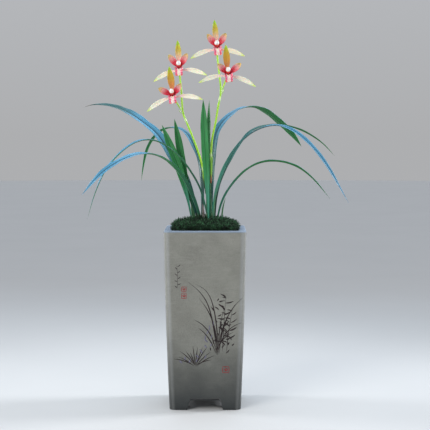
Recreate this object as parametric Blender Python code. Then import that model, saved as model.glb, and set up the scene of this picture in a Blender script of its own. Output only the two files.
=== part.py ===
"""Potted orchid: a cymbidium with two flower stems in a tall, square, footed stoneware pot.

Run it with: blender --background --python part.py

Lengths are in millimetres until a mesh is made, and in metres in the scene. X runs to the right, Y to the back
and Z up. The origin is on the ground on the pot's axis, which is also under the middle of the plant's spread.
"""

import math

import bmesh
import bpy
from mathutils import Vector

MM = 0.001
GAP = 0.3

# Pot
POT_HEIGHT = 262.0
RIM_HALF = 60.0
FOOT_HALF = 52.3
SIDE_BULGE = 0.9
CORNER_ROUND = 9.5
RIM_WALL = 11.5
SIDE_WALL = 10.0
LIP_ROUND = 2.5
FLOOR_UNDER = 16.4
FLOOR_TOP = 28.0
DRAIN_RADIUS = 10.0
FOOT_GAP_TOP_HALF = 21.5
FOOT_GAP_FOOT_HALF = 26.0
CORNER_POINTS = 6

# Filling, from the floor up
SCREEN_SIDE = 34.0
SCREEN_THICK = 1.2
SCREEN_HOLES = 4
SCREEN_HOLE = 4.6
SCREEN_PITCH = 7.4
DRAINAGE_TOP = 62.0
MIX_TOP = POT_HEIGHT - 12.0
MOSS_DOME = 15.0
CROWN_TOP = POT_HEIGHT + 4.0
CROWN_SLOT = (32.0, 19.5)
CROWN_SLOT_CENTRE = (1.0, -1.0)

# Pseudobulbs: where each stands, in plan
BULBS = [(-20, -4), (-9, 7), (-6, -7), (4, 5), (7, -9), (13, 5), (21, -2)]
BULB_RADIUS = 9.3
BULB_TOP_RADIUS = 8.0

STEM_RADIUS = 1.6
LEAF_STATIONS = 20
LEAF_THICK = 1.1
PETAL_THICK = 1.1

# Leaves. A path runs from the crown to the tip, in mm from the pot's axis, with heights above the rim.
# Width is the widest across, and foot the share of it at the crown. The leaf is at its widest between the two
# shares of its length in broad, and a greater rise keeps the foot narrow for longer. Roll turns the upper side to the front, at the foot, middle and tip, in degrees.
# Fold is how far the edges rise, as a share of the half-width.
LEAVES = {
    "leaf_upper_left": dict(
        path=[
            (-10, 11, 4.5), (-12, 12, 20), (-29, 19, 71), (-47, 30, 99), (-71, 46, 137), (-95, 64, 157),
            (-118, 86, 172), (-143, 107, 182), (-165, 123, 186), (-181, 133, 186), (-194.8, 140, 182),
        ],
        width=14.5, foot=0.3, broad=(0.45, 0.66), roll=(60, 22, 14), fold=0.34,
    ),
    "leaf_low_left_thin": dict(
        path=[
            (2, -2, 4.5), (2, -2, 20), (-8, -6, 59), (-24, -14, 88), (-42, -24, 111), (-68, -39, 129),
            (-94, -54, 130), (-118, -65, 115), (-140, -73, 90), (-155, -81, 57), (-166, -88, 19),
        ],
        width=8.0, foot=0.4, broad=(0.4, 0.6), roll=(30, 8, -25), fold=0.3,
    ),
    "leaf_low_left_wide": dict(
        path=[
            (-7, -8, 4.5), (-8, -8, 15), (-18, -15, 45), (-32, -27, 75), (-50, -42, 97), (-71, -66, 110),
            (-95, -88, 111), (-120, -107, 101), (-144, -123, 84), (-168, -136, 56),
        ],
        width=10.8, foot=0.35, broad=(0.5, 0.72), roll=(-30, 6, 30), fold=0.25,
    ),
    "leaf_back_left_arch": dict(
        path=[
            (-5, 14.5, 4.5), (-5, 15, 20), (-5, 23, 56), (-8, 34, 96), (-17, 50, 120), (-32, 77, 143),
            (-55, 102, 150), (-77, 126, 140), (-93, 141, 118), (-100, 147, 92), (-104, 150, 65),
        ],
        width=8.5, foot=0.4, broad=(0.45, 0.6), roll=(20, 8, -8), fold=0.3,
    ),
    "leaf_left_short": dict(
        path=[(-15, 5, 4.5), (-16, 5, 18), (-24, 6, 50), (-31, 7, 78), (-35.5, 8, 104), (-40, 9, 130), (-46, 10, 162)],
        width=11.0, foot=0.2, broad=(0.62, 0.72), rise=2.6, roll=(60, 78, 75), fold=0.4,
    ),
    "leaf_left_upright": dict(
        path=[
            (-21, -4, 4.5), (-21.5, -4, 18), (-25.5, -4, 40), (-31, -4, 62), (-39, -3, 90), (-51, -1, 120), (-64, 2, 153),
        ],
        width=12.2, foot=0.2, broad=(0.62, 0.7), rise=3.1, roll=(50, 75, 80), fold=0.35,
    ),
    "leaf_centre_tall": dict(
        path=[(4.5, -11, 4.5), (4.5, -11, 22), (4, -12, 48), (1.5, -12, 90), (-0.5, -12, 130), (-3, -9, 190)],
        width=11.0, foot=0.22, broad=(0.64, 0.75), rise=2.2, roll=(80, 85, 85), fold=0.28,
    ),
    "leaf_centre_second": dict(
        path=[(8, -5, 4.5), (7.6, -5, 21), (6, -5, 60), (5, -4, 105), (6, -3, 149), (6, -1, 189)],
        width=9.4, foot=0.3, broad=(0.55, 0.75), rise=1.8, roll=(60, 72, 80), fold=0.4,
    ),
    "leaf_upper_right": dict(
        path=[
            (8.5, 10, 4.5), (8.5, 11, 30), (10, 18, 78), (12, 30, 116), (18, 46, 146), (39, 71, 170),
            (64, 95, 182), (91, 113, 177), (118, 130, 157), (138, 142, 139), (153, 150, 120),
        ],
        width=12.8, foot=0.35, broad=(0.45, 0.84), roll=(30, 8, -34), fold=0.2,
    ),
    "leaf_right_long_low": dict(
        path=[
            (12, -5.5, 4.5), (12, -6.5, 17), (14, -11, 42), (21, -20, 70), (32, -31, 98), (50, -52, 126),
            (71, -70, 144), (98, -89, 152), (122, -104, 145), (146, -118, 125), (168, -132, 96), (196, -147, 46),
        ],
        width=7.6, foot=0.4, broad=(0.4, 0.7), roll=(-25, 14, 16), fold=0.3,
    ),
    "leaf_right_long_high": dict(
        path=[
            (15, 7, 4.5), (15, 8, 22), (19, 13, 56), (30, 20, 86), (47, 34, 117), (68, 50, 143),
            (93, 62, 153), (121, 73, 153), (151, 82, 144), (180.5, 88, 126), (200, 91, 106),
        ],
        width=7.8, foot=0.4, broad=(0.4, 0.6), roll=(30, 8, -24), fold=0.3,
    ),
    "leaf_right_low": dict(
        path=[
            (19.5, 1, 4.5), (19.5, 1, 18), (27, 0, 43), (40, -4, 65), (61, -8, 87), (84, -8, 98),
            (110, -6, 99), (136, -2, 91), (160, 3, 73), (186, 9, 43),
        ],
        width=6.8, foot=0.45, broad=(0.4, 0.6), roll=(-30, -22, -22), fold=0.35,
    ),
    "sheath_leaf_left": dict(
        path=[(-15.5, -10, 4.5), (-17, -10, 14), (-19, -10.5, 25), (-21, -11.5, 36)],
        width=5.0, foot=0.6, broad=(0.3, 0.5), roll=(70, 70, 70), fold=0.35,
    ),
    "sheath_leaf_right": dict(
        path=[(12, -14, 4.5), (12.5, -15, 16), (14.5, -20, 42), (18, -26, 67)],
        width=5.0, foot=0.7, broad=(0.3, 0.5), roll=(60, 60, 60), fold=0.4,
    ),
    "sheath_leaf_far_right": dict(
        path=[(25, -6, 4.5), (25, -6.4, 14), (26.5, -8, 30), (30, -10, 46)],
        width=5.0, foot=0.7, broad=(0.3, 0.5), roll=(60, 60, 60), fold=0.4,
    ),
}

# Flower stems, from the crown up, in mm from the pot's axis, with heights above the rim
STEMS = {
    "scape_left": [
        (2.5, 4, 4.5), (2.5, 4, 30), (2, 4, 52), (-3.5, 3, 87), (-9, 2, 109), (-19, 0, 136), (-28, -2.5, 158),
        (-33, -4, 172), (-35, -3, 201), (-37, 1, 220), (-38, -1, 229.6), (-38, -6.6, 234.4),
    ],
    "scape_right": [
        (8.5, 3, 4.5), (7.8, 3, 30), (7, 2, 60), (8, 1, 98), (10, 0, 131), (15, -2, 155), (19, -4, 180),
        (23, -5, 201), (21, -3, 225), (18.2, 1, 250), (17.5, -1, 259), (17.4, -6.6, 264),
    ],
}
SHEATHS = {"stem_sheath_left": ("scape_left", 0.2, 0.34), "stem_sheath_right": ("scape_right", 0.24, 0.38)}
PEDICELS = {
    "pedicel_lower_left": [(-34.8, -5.7, 174), (-41, -12, 184), (-45.6, -16, 191), (-46.8, -18.8, 194.3)],
    "pedicel_lower_right": [(24.6, -7.2, 203.2), (28.6, -14, 214), (32, -18, 222), (33, -20.8, 225.3)],
}
BRACTS = {
    "bract_left": [(-34.4, -7.2, 169.0), (-36.6, -9.2, 171.8), (-39.4, -11.6, 175.2)],
    "bract_right": [(24.6, -8.2, 198.0), (26.4, -10.6, 202.2), (28.6, -13.4, 206.8)],
}

# Flowers: the point where the floral parts meet, above the rim; turns in degrees about the front axis (roll),
# the upright axis (yaw) and the cross axis (nod); the upper sepal's width; each side's petal, as its spread from
# upright and how far it cups forward; the side sepals' droop. Sides are the viewer's, left then right.
FLOWERS = {
    "flower_lower_left": dict(
        at=(-46.8, -20, 195), roll=-6.5, yaw=-6, nod=3, reach=1.05, upper=10.0, petals=((53, 14), (44, 16)), droop=(4.5, -6.5)
    ),
    "flower_upper_left": dict(
        at=(-38, -8, 235.4), roll=-3, yaw=-3, nod=0, reach=1.0, upper=8.8, petals=((35, 0), (33, 0)), droop=(4.5, -3)
    ),
    "flower_upper_right": dict(
        at=(17.4, -8, 265), roll=-6, yaw=3, nod=0, reach=1.0, upper=8.6, petals=((31, 0), (37, 0)), droop=(-4, 2.5)
    ),
    "flower_lower_right": dict(
        at=(33, -22, 226), roll=-5, yaw=6, nod=3, reach=1.05, upper=10.0, petals=((42, 16), (53, 4)), droop=(-9, 8.5)
    ),
}

COLOURS = {
    "stoneware": ((0.42, 0.41, 0.37), 0.75),
    "drain_screen": ((0.05, 0.05, 0.05), 0.6),
    "pumice": ((0.55, 0.5, 0.42), 0.95),
    "potting_mix": ((0.12, 0.07, 0.04), 0.95),
    "moss": ((0.04, 0.14, 0.04), 0.95),
    "pseudobulb": ((0.22, 0.33, 0.1), 0.5),
    "leaf": ((0.06, 0.25, 0.12), 0.35),
    "sheath": ((0.3, 0.35, 0.16), 0.5),
    "stem": ((0.35, 0.6, 0.1), 0.45),
    "sepal": ((0.85, 0.78, 0.6), 0.5),
    "petal": ((0.8, 0.35, 0.3), 0.5),
    "lip": ((0.85, 0.35, 0.42), 0.5),
    "column": ((0.95, 0.92, 0.85), 0.4),
}


def clear_scene():
    for obj in list(bpy.data.objects):
        bpy.data.objects.remove(obj, do_unlink=True)


def material(name):
    found = bpy.data.materials.get(name)
    if found:
        return found
    colour, roughness = COLOURS[name]
    made = bpy.data.materials.new(name)
    made.use_nodes = True
    shader = made.node_tree.nodes["Principled BSDF"]
    shader.inputs["Base Color"].default_value = (*colour, 1.0)
    shader.inputs["Roughness"].default_value = roughness
    shader.inputs["Metallic"].default_value = 0.0
    return made


def empty(name, location, parent=None, turns=(0.0, 0.0, 0.0)):
    made = bpy.data.objects.new(name, None)
    bpy.context.scene.collection.objects.link(made)
    made.parent = parent
    made.location = Vector(location) * MM
    made.rotation_euler = [math.radians(a) for a in turns]
    return made


def place(obj, parent, finish):
    bpy.context.scene.collection.objects.link(obj)
    obj.parent = parent
    obj.data.materials.append(material(finish))
    return obj


def mesh_object(name, bm, parent, finish):
    """One object from a bmesh in millimetres, with its faces pointing out and round parts shaded smooth."""
    bmesh.ops.scale(bm, vec=(MM, MM, MM), verts=bm.verts)
    bmesh.ops.recalc_face_normals(bm, faces=bm.faces)
    mesh = bpy.data.meshes.new(name)
    bm.to_mesh(mesh)
    bm.free()
    mesh.shade_smooth()
    mesh.set_sharp_from_angle(angle=math.radians(40))
    return place(bpy.data.objects.new(name, mesh), parent, finish)


def join_rings(bm, rings, close_ends=True, close_loop=False):
    """Faces between rings of equally many points; the ends get caps, or the last ring meets the first."""
    loops = [[bm.verts.new(p) for p in ring] for ring in rings]
    pairs = list(zip(loops, loops[1:]))
    if close_loop:
        pairs.append((loops[-1], loops[0]))
    for lower, upper in pairs:
        count = len(lower)
        for i in range(count):
            j = (i + 1) % count
            bm.faces.new((lower[i], lower[j], upper[j], upper[i]))
    if close_ends and not close_loop:
        bm.faces.new(loops[0][::-1])
        bm.faces.new(loops[-1])
    return bm


def blend(a, b, t):
    return a + (b - a) * t


def three_way(values, t):
    """A value that runs through three given ones, at the foot, middle and tip."""
    foot, middle, tip = values
    return blend(foot, middle, t * 2) if t < 0.5 else blend(middle, tip, t * 2 - 1)


def smooth_path(points, count):
    """count points, evenly spaced along a Catmull-Rom curve through the given ones."""
    knots = [Vector(p) for p in points]
    knots = [2 * knots[0] - knots[1], *knots, 2 * knots[-1] - knots[-2]]
    fine = []
    steps = 24
    for a, b, c, d in zip(knots, knots[1:], knots[2:], knots[3:]):
        for i in range(steps):
            t = i / steps
            fine.append(
                0.5 * (2 * b + (c - a) * t + (2 * a - 5 * b + 4 * c - d) * t**2 + (3 * b - a - 3 * c + d) * t**3)
            )
    fine.append(knots[-2])
    run = [0.0]
    for a, b in zip(fine, fine[1:]):
        run.append(run[-1] + (b - a).length)
    out = []
    k = 0
    for i in range(count):
        want = run[-1] * i / (count - 1)
        while k < len(run) - 2 and run[k + 1] < want:
            k += 1
        out.append(fine[k].lerp(fine[k + 1], (want - run[k]) / (run[k + 1] - run[k])))
    return out


def tangents(path):
    ends = [path[0], *path, path[-1]]
    return [(b - a).normalized() for a, b in zip(ends, ends[2:])]


def blade(bm, path, sides, faces, half_widths, dishes, thick, columns=3, power=1.0):
    """A thin closed blade. Across each station its edges rise towards the face by dish times the half-width."""
    rings = []
    for p, side, face, half, dish in zip(path, sides, faces, half_widths, dishes):
        across = [-1 + 2 * c / (columns - 1) for c in range(columns)]
        rise = [p + side * (u * half) + face * (dish * half * abs(u) ** power) for u in across]
        half_thick = [thick / 2 * (1 - 0.45 * u * u) for u in across]
        top = [q + face * h for q, h in zip(rise, half_thick)]
        under = [q - face * h for q, h in zip(rise, half_thick)]
        rings.append(top + under[::-1])
    return join_rings(bm, rings)


# ---------------------------------------------------------------- pot and filling


def outer_half(z):
    """Half the pot's outside width at a height."""
    t = z / POT_HEIGHT
    return blend(FOOT_HALF, RIM_HALF, t) + SIDE_BULGE * math.sin(math.pi * t)


def inner_half(z):
    """Half the pot's inside width at a height: the wall thickens towards the rim."""
    return outer_half(z) - blend(SIDE_WALL, RIM_WALL, z / POT_HEIGHT)


def rounded_square(half, corner, z):
    points = []
    for quarter in range(4):
        turn = quarter * math.pi / 2
        cx, cy = ((1, 1), (-1, 1), (-1, -1), (1, -1))[quarter]
        for i in range(CORNER_POINTS):
            a = turn + math.pi / 2 * i / (CORNER_POINTS - 1)
            points.append(
                Vector((cx * (half - corner) + corner * math.cos(a), cy * (half - corner) + corner * math.sin(a), z))
            )
    return points


def round_ring(rx, ry, z, centre=(0.0, 0.0)):
    """An ellipse with as many points as rounded_square, each facing its partner there."""
    points = []
    for quarter in range(4):
        for i in range(CORNER_POINTS):
            a = math.pi / 2 * (quarter + (i + 0.5) / CORNER_POINTS)
            points.append(Vector((centre[0] + rx * math.cos(a), centre[1] + ry * math.sin(a), z)))
    return points


def foot_gap_cutter(name, along_x, parent):
    """A long trapezoid bar under the floor, narrower at the top, that leaves a foot at each corner."""
    reach = RIM_HALF + 10
    profile = [
        (-FOOT_GAP_FOOT_HALF - 0.6, -2.0),
        (FOOT_GAP_FOOT_HALF + 0.6, -2.0),
        (FOOT_GAP_TOP_HALF + 0.8, FLOOR_UNDER - 1.6),
        (FOOT_GAP_TOP_HALF - 1.0, FLOOR_UNDER),
        (-FOOT_GAP_TOP_HALF + 1.0, FLOOR_UNDER),
        (-FOOT_GAP_TOP_HALF - 0.8, FLOOR_UNDER - 1.6),
    ]
    rings = [
        [Vector((end, c, z)) if along_x else Vector((c, end, z)) for c, z in profile] for end in (-reach, reach)
    ]
    cutter = mesh_object(name, join_rings(bmesh.new(), rings), parent, "stoneware")
    cutter.hide_render = True
    cutter.display_type = "WIRE"
    return cutter


def boolean(obj, other, operation, name):
    modifier = obj.modifiers.new(name, "BOOLEAN")
    modifier.object = other
    modifier.operation = operation
    modifier.solver = "EXACT"


def build_pot(parent):
    rings = [
        rounded_square(outer_half(z), CORNER_ROUND, z)
        for z in (0.0, 20.0, 65.0, 110.0, 155.0, 200.0, POT_HEIGHT - LIP_ROUND)
    ]
    for angle in (30, 60, 90):
        a = math.radians(angle)
        inset = LIP_ROUND * (1 - math.cos(a))
        z = POT_HEIGHT - LIP_ROUND * (1 - math.sin(a))
        rings.append(rounded_square(outer_half(z) - inset, CORNER_ROUND - inset, z))
    inner_round = 5.0
    rim_inner = inner_half(POT_HEIGHT)
    rings.append(rounded_square(rim_inner + 1.2, inner_round + 1.2, POT_HEIGHT))
    rings.append(rounded_square(rim_inner, inner_round, POT_HEIGHT - 1.2))
    for z in (200.0, 110.0, FLOOR_TOP):
        rings.append(rounded_square(inner_half(z), inner_round, z))
    rings.append(round_ring(DRAIN_RADIUS, DRAIN_RADIUS, FLOOR_TOP))
    rings.append(round_ring(DRAIN_RADIUS, DRAIN_RADIUS, 0.0))
    pot = mesh_object("pot", join_rings(bmesh.new(), rings, close_loop=True), parent, "stoneware")
    boolean(pot, foot_gap_cutter("foot_gap_cutter_x", True, parent), "DIFFERENCE", "foot gap along x")
    boolean(pot, foot_gap_cutter("foot_gap_cutter_y", False, parent), "DIFFERENCE", "foot gap along y")


def box(bm, low, high):
    corners = bmesh.ops.create_cube(bm, size=1.0)["verts"]
    for v in corners:
        v.co = Vector([lo if c < 0 else hi for c, lo, hi in zip(v.co, low, high)])


def build_drain_screen(parent):
    half = SCREEN_SIDE / 2
    low = FLOOR_TOP + GAP
    plate = bmesh.new()
    box(plate, (-half, -half, low), (half, half, low + SCREEN_THICK))
    screen = mesh_object("drain_screen", plate, parent, "drain_screen")
    holes = bmesh.new()
    for row in range(SCREEN_HOLES):
        for column in range(SCREEN_HOLES):
            x = (row - (SCREEN_HOLES - 1) / 2) * SCREEN_PITCH
            y = (column - (SCREEN_HOLES - 1) / 2) * SCREEN_PITCH
            r = SCREEN_HOLE / 2
            box(holes, (x - r, y - r, low - 1), (x + r, y + r, low + SCREEN_THICK + 1))
    cutter = mesh_object("screen_hole_cutter", holes, parent, "drain_screen")
    cutter.hide_render = True
    cutter.display_type = "WIRE"
    boolean(screen, cutter, "DIFFERENCE", "screen holes")


def build_filling(parent):
    bed = bmesh.new()
    heights = (FLOOR_TOP + GAP, (FLOOR_TOP + DRAINAGE_TOP) / 2, DRAINAGE_TOP)
    join_rings(bed, [rounded_square(inner_half(z) - GAP, 5.0 - GAP, z) for z in heights])
    drainage = mesh_object("drainage_pumice", bed, parent, "pumice")
    recess = bmesh.new()
    half = SCREEN_SIDE / 2 + GAP
    box(recess, (-half, -half, FLOOR_TOP - 2), (half, half, FLOOR_TOP + SCREEN_THICK + 3 * GAP))
    cutter = mesh_object("screen_recess_cutter", recess, parent, "pumice")
    cutter.hide_render = True
    cutter.display_type = "WIRE"
    boolean(drainage, cutter, "DIFFERENCE", "screen recess")

    mix = bmesh.new()
    heights = (DRAINAGE_TOP + GAP, 110.0, 200.0, MIX_TOP)
    join_rings(mix, [rounded_square(inner_half(z) - GAP, 5.0 - GAP, z) for z in heights])
    mesh_object("potting_mix", mix, parent, "potting_mix")


def build_moss(parent):
    """A moss cushion inside the rim, domed above it, and open in the middle where the plant's crown comes through."""
    edge_half = inner_half(POT_HEIGHT) - 2 * GAP
    low = MIX_TOP + GAP
    rings = [
        round_ring(*CROWN_SLOT, low, CROWN_SLOT_CENTRE),
        rounded_square(edge_half, 4.5, low),
        rounded_square(edge_half, 4.5, POT_HEIGHT - 2.0),
    ]
    top = round_ring(*CROWN_SLOT, POT_HEIGHT + MOSS_DOME, CROWN_SLOT_CENTRE)
    shoulder = rounded_square(edge_half, 6.0, POT_HEIGHT)
    for share, height in ((0.0, 0.14), (0.08, 0.4), (0.28, 0.68), (0.62, 0.9), (1.0, 1.0)):
        rings.append([Vector((*a.lerp(b, share).xy, POT_HEIGHT + MOSS_DOME * height)) for a, b in zip(shoulder, top)])
    mesh_object("moss", join_rings(bmesh.new(), rings, close_loop=True), parent, "moss")


def bulb_mesh(x, y, drop, phase):
    """A squat pseudobulb, flat on top where the leaves spring. Older bulbs sit a little lower."""
    low = MIX_TOP + GAP + drop
    high = CROWN_TOP - drop
    profile = [(BULB_RADIUS - 3.5, low), (BULB_RADIUS, low + 5), (BULB_RADIUS, low + 9), (BULB_TOP_RADIUS, high)]
    sides = 12
    rings = []
    for r, z in profile:
        turns = [phase + 2 * math.pi * i / sides for i in range(sides)]
        rings.append([Vector((x + r * math.cos(a), y + r * math.sin(a), z)) for a in turns])
    return join_rings(bmesh.new(), rings)


def build_pseudobulbs(parent):
    """The clump of bulbs, grown together, that every leaf and stem springs from."""
    first, *others = BULBS
    clump = mesh_object("pseudobulbs", bulb_mesh(*first, 0.0, 0.0), parent, "pseudobulb")
    for n, at in enumerate(others, 2):
        bulb = mesh_object(f"bulb_{n}", bulb_mesh(*at, 0.11 * n, 0.37 * n), parent, "pseudobulb")
        bulb.hide_render = True
        bulb.display_type = "WIRE"
        boolean(clump, bulb, "UNION", f"bulb {n}")


# ---------------------------------------------------------------- leaves


def leaf_width(t, foot, broad, rise):
    """The share of a leaf's full width at t along it: narrow and clasping at the foot, then a long taper."""
    start, end = broad
    swell = blend(foot, 1.0, math.sin(math.pi / 2 * min(t / start, 1.0)) ** rise)
    taper = 1.0 if t < end else max(1.0 - ((t - end) / (1 - end)) ** 1.9, 0.0)
    return swell * taper


def leaf_frames(path, roll):
    """The sideways and face directions along a leaf. The face is its upper side, before the roll turns it."""
    run = path[-1] - path[0]
    heading = Vector((run.x, run.y, 0)).normalized()
    side = Vector((-heading.y, heading.x, 0))
    if side.y > 0:
        side = -side
    sides, faces = [], []
    for i, t in enumerate(tangents(path)):
        share = i / (len(path) - 1)
        level = (side - t * side.dot(t)).normalized()
        upper = t.cross(level)
        if upper.dot(Vector((0, 0, 1)) * t.dot(heading) - heading * t.z) < 0:
            upper = -upper
        a = math.radians(three_way(roll, share))
        sides.append(level * math.cos(a) - upper * math.sin(a))
        faces.append(upper * math.cos(a) + level * math.sin(a))
    return sides, faces


def build_leaf(name, spec, parent):
    stations = LEAF_STATIONS if len(spec["path"]) > 7 else 12
    path = smooth_path(spec["path"], stations)
    shares = [i / (stations - 1) for i in range(stations)]
    rise = spec.get("rise", 1.3)
    half_widths = [max(spec["width"] / 2 * leaf_width(t, spec["foot"], spec["broad"], rise), 0.5) for t in shares]
    dishes = [blend(1.1, spec["fold"], min(t / 0.35, 1.0)) for t in shares]
    sides, faces = leaf_frames(path, spec["roll"])
    finish = "sheath" if name.startswith("sheath") else "leaf"
    mesh_object(name, blade(bmesh.new(), path, sides, faces, half_widths, dishes, LEAF_THICK), parent, finish)


# ---------------------------------------------------------------- stems


def tube(name, points, radii, parent, finish, count):
    """A round stem as a curve with a bevel; radii run from foot to top."""
    path = smooth_path(points, count)
    curve = bpy.data.curves.new(name, "CURVE")
    curve.dimensions = "3D"
    curve.bevel_depth = MM
    curve.bevel_resolution = 1
    curve.use_fill_caps = True
    spline = curve.splines.new("POLY")
    spline.points.add(count - 1)
    for i, (target, p) in enumerate(zip(spline.points, path)):
        target.co = (*(p * MM), 1.0)
        target.radius = blend(*radii, i / (count - 1))
    return place(bpy.data.objects.new(name, curve), parent, finish)


def build_sheath(name, stem, start, end, parent):
    """A papery tube round the stem, open at the top, one side longer than the other."""
    path = smooth_path(STEMS[stem], 60)
    path = path[int(start * 59) : int(end * 59) + 1 : 3]
    sides = 8
    inner, outer = [], []
    for i, (p, t) in enumerate(zip(path, tangents(path))):
        across = t.cross(Vector((0, 1, 0))).normalized()
        front = t.cross(across)
        swell = 0.5 * math.sin(math.pi * i / (len(path) - 1))
        for radius, rings in ((STEM_RADIUS + GAP, inner), (STEM_RADIUS + 1.1 + swell, outer)):
            ring = []
            for k in range(sides):
                a = 2 * math.pi * k / sides
                slant = t * (4 * math.cos(a)) if i == len(path) - 1 else Vector()
                ring.append(p + (across * math.cos(a) + front * math.sin(a)) * radius + slant)
            rings.append(ring)
    mesh_object(name, join_rings(bmesh.new(), outer + inner[::-1], close_loop=True), parent, "sheath")


def build_bract(name, points, parent):
    count = 6
    path = smooth_path(points, count)
    shares = [i / (count - 1) for i in range(count)]
    half_widths = [max(1.2 * math.sin(math.pi * (0.2 + 0.8 * t)), 0.35) for t in shares]
    front = Vector((0, -1, 0))
    sides = [t.cross(front).normalized() for t in tangents(path)]
    faces = [s.cross(t) for s, t in zip(sides, tangents(path))]
    mesh_object(name, blade(bmesh.new(), path, sides, faces, half_widths, [-0.3] * count, 0.8), parent, "stem")


# ---------------------------------------------------------------- flowers


def petal_width(t, foot):
    """The share of full width at t: a narrow foot, widest past the middle, then a blunt point."""
    body = math.sin(math.pi * t**1.05) ** 0.8 if 0 < t < 1 else 0.0
    return max(body, foot * (1 - t) ** 2)


def floral_blade(name, points, width, foot, dish, parent, finish, stations=9):
    """A sepal or petal whose face looks to the front, dished across."""
    path = smooth_path(points, stations)
    shares = [i / (stations - 1) for i in range(stations)]
    half_widths = [max(width / 2 * petal_width(t, foot), 0.5) for t in shares]
    front = Vector((0, -1, 0))
    sides = [front.cross(t).normalized() for t in tangents(path)]
    faces = [t.cross(s) for s, t in zip(sides, tangents(path))]
    bm = blade(bmesh.new(), path, sides, faces, half_widths, [dish] * stations, PETAL_THICK, columns=4, power=2.0)
    mesh_object(name, bm, parent, finish)


def turned(points, degrees):
    """Points turned about the flower's front axis, clockwise as seen from the front."""
    a = math.radians(degrees)
    return [(x * math.cos(a) + z * math.sin(a), y, z * math.cos(a) - x * math.sin(a)) for x, y, z in points]


def mirrored(points):
    return [(-x, y, z) for x, y, z in points]


def petal_path(spread, cup):
    """A petal on the right, from its foot beside the column: spread from upright, and cupped further forward."""
    foot = Vector((4.2, 2.6))
    points = []
    for reach, forward in ((4.2, 2.6), (11.0, 4.6), (18.2, 6.4), (24.7, 7.2)):
        turn = Vector((reach, forward)) - foot
        a = math.radians(cup)
        away = foot.x + turn.x * math.cos(a) - turn.y * math.sin(a)
        front = foot.y + turn.x * math.sin(a) + turn.y * math.cos(a)
        points.append((0.0, -front, away))
    return turned(points, spread)


def build_lip(name, parent):
    """The lip: a channel under the column with raised side lobes, then a broad lobe that hangs down in front."""
    path = smooth_path([(0, -2.2, -2.2), (0, -5.6, -1.0), (0, -8.6, -1.8), (0, -10.6, -5.2), (0, -10.2, -10.8)], 10)
    half_widths = [2.0, 3.0, 4.8, 5.5, 5.7, 5.8, 6.0, 6.1, 6.1, 5.2]
    dishes = [0.5, 0.75, 0.9, 0.95, 0.8, 0.5, 0.2, 0.0, -0.08, -0.1]
    side = Vector((1, 0, 0))
    faces = [side.cross(t) for t in tangents(path)]
    bm = blade(bmesh.new(), path, [side] * 10, faces, half_widths, dishes, 1.0, columns=5, power=2.0)
    mesh_object(name, bm, parent, "lip")


def build_column(name, parent):
    """The column, arching forward over the lip and ending in its round, pale anther cap."""
    spine = [(-2.2, 1.0, 1.3), (-4.8, 2.6, 1.6), (-7.0, 4.8, 1.9), (-8.2, 6.2, 3.0), (-9.6, 7.2, 3.4), (-11.2, 7.9, 3.1), (-12.4, 8.4, 1.5)]
    sides = 8
    centres = [Vector((0, y, z)) for y, z, _ in spine]
    rings = []
    for centre, t, (_, _, radius) in zip(centres, tangents(centres), spine):
        across = Vector((1, 0, 0))
        up = across.cross(t)
        rings.append(
            [
                centre + (across * math.cos(2 * math.pi * k / sides) + up * math.sin(2 * math.pi * k / sides)) * radius
                for k in range(sides)
            ]
        )
    mesh_object(name, join_rings(bmesh.new(), rings), parent, "column")


def build_flower(name, spec, rim):
    turns = (spec["nod"], spec["roll"], spec["yaw"])
    parent = empty(f"{name}_axis", spec["at"], rim, turns)
    reach = spec["reach"]
    dorsal = [(0, -0.4, 3.0), (0, 0.6, 14), (0, -0.6, 27 * reach), (0, -3.5, 41 * reach)]
    side_sepal = [(3.0, -0.4, -2.8), (14, 0.6, -3.3), (27 * reach, -1.0, -7.6 * reach), (40 * reach, -4.0, -14.6 * reach)]
    left_droop, right_droop = spec["droop"]
    left_petal, right_petal = spec["petals"]
    floral_blade(f"{name}_dorsal_sepal", dorsal, spec["upper"], 0.4, 0.25, parent, "sepal", 10)
    floral_blade(
        f"{name}_left_sepal", mirrored(turned(side_sepal, left_droop)), 7.0, 0.5, 0.2, parent, "sepal", 10
    )
    floral_blade(f"{name}_right_sepal", turned(side_sepal, right_droop), 7.0, 0.5, 0.2, parent, "sepal", 10)
    floral_blade(f"{name}_left_petal", mirrored(petal_path(*left_petal)), 10.0, 0.4, 0.3, parent, "petal")
    floral_blade(f"{name}_right_petal", petal_path(*right_petal), 10.0, 0.4, 0.3, parent, "petal")
    build_lip(f"{name}_lip", parent)
    build_column(f"{name}_column", parent)


def main():
    clear_scene()
    ground = empty("pot_axis", (0, 0, 0))
    rim = empty("rim_plane", (0, 0, POT_HEIGHT), ground)
    build_pot(ground)
    build_drain_screen(ground)
    build_filling(ground)
    build_moss(ground)
    build_pseudobulbs(ground)
    for name, spec in LEAVES.items():
        build_leaf(name, spec, rim)
    for name, points in STEMS.items():
        tube(name, points, (STEM_RADIUS, 1.35), rim, "stem", 26)
    for name, (stem, start, end) in SHEATHS.items():
        build_sheath(name, stem, start, end, rim)
    for name, points in PEDICELS.items():
        tube(name, points, (1.1, 1.8), rim, "stem", 9)
    for name, points in BRACTS.items():
        build_bract(name, points, rim)
    for name, spec in FLOWERS.items():
        build_flower(name, spec, rim)


main()
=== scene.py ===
"""Potted orchid: the looks of a cymbidium in a tall square stoneware pot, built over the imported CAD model.

Shapes are worked out in millimetres in the row's frame, and become metres when a mesh is made. The paths
of the leaves, stems and flowers follow the CAD model's, drawn finer.
"""

import math
import random

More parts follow.
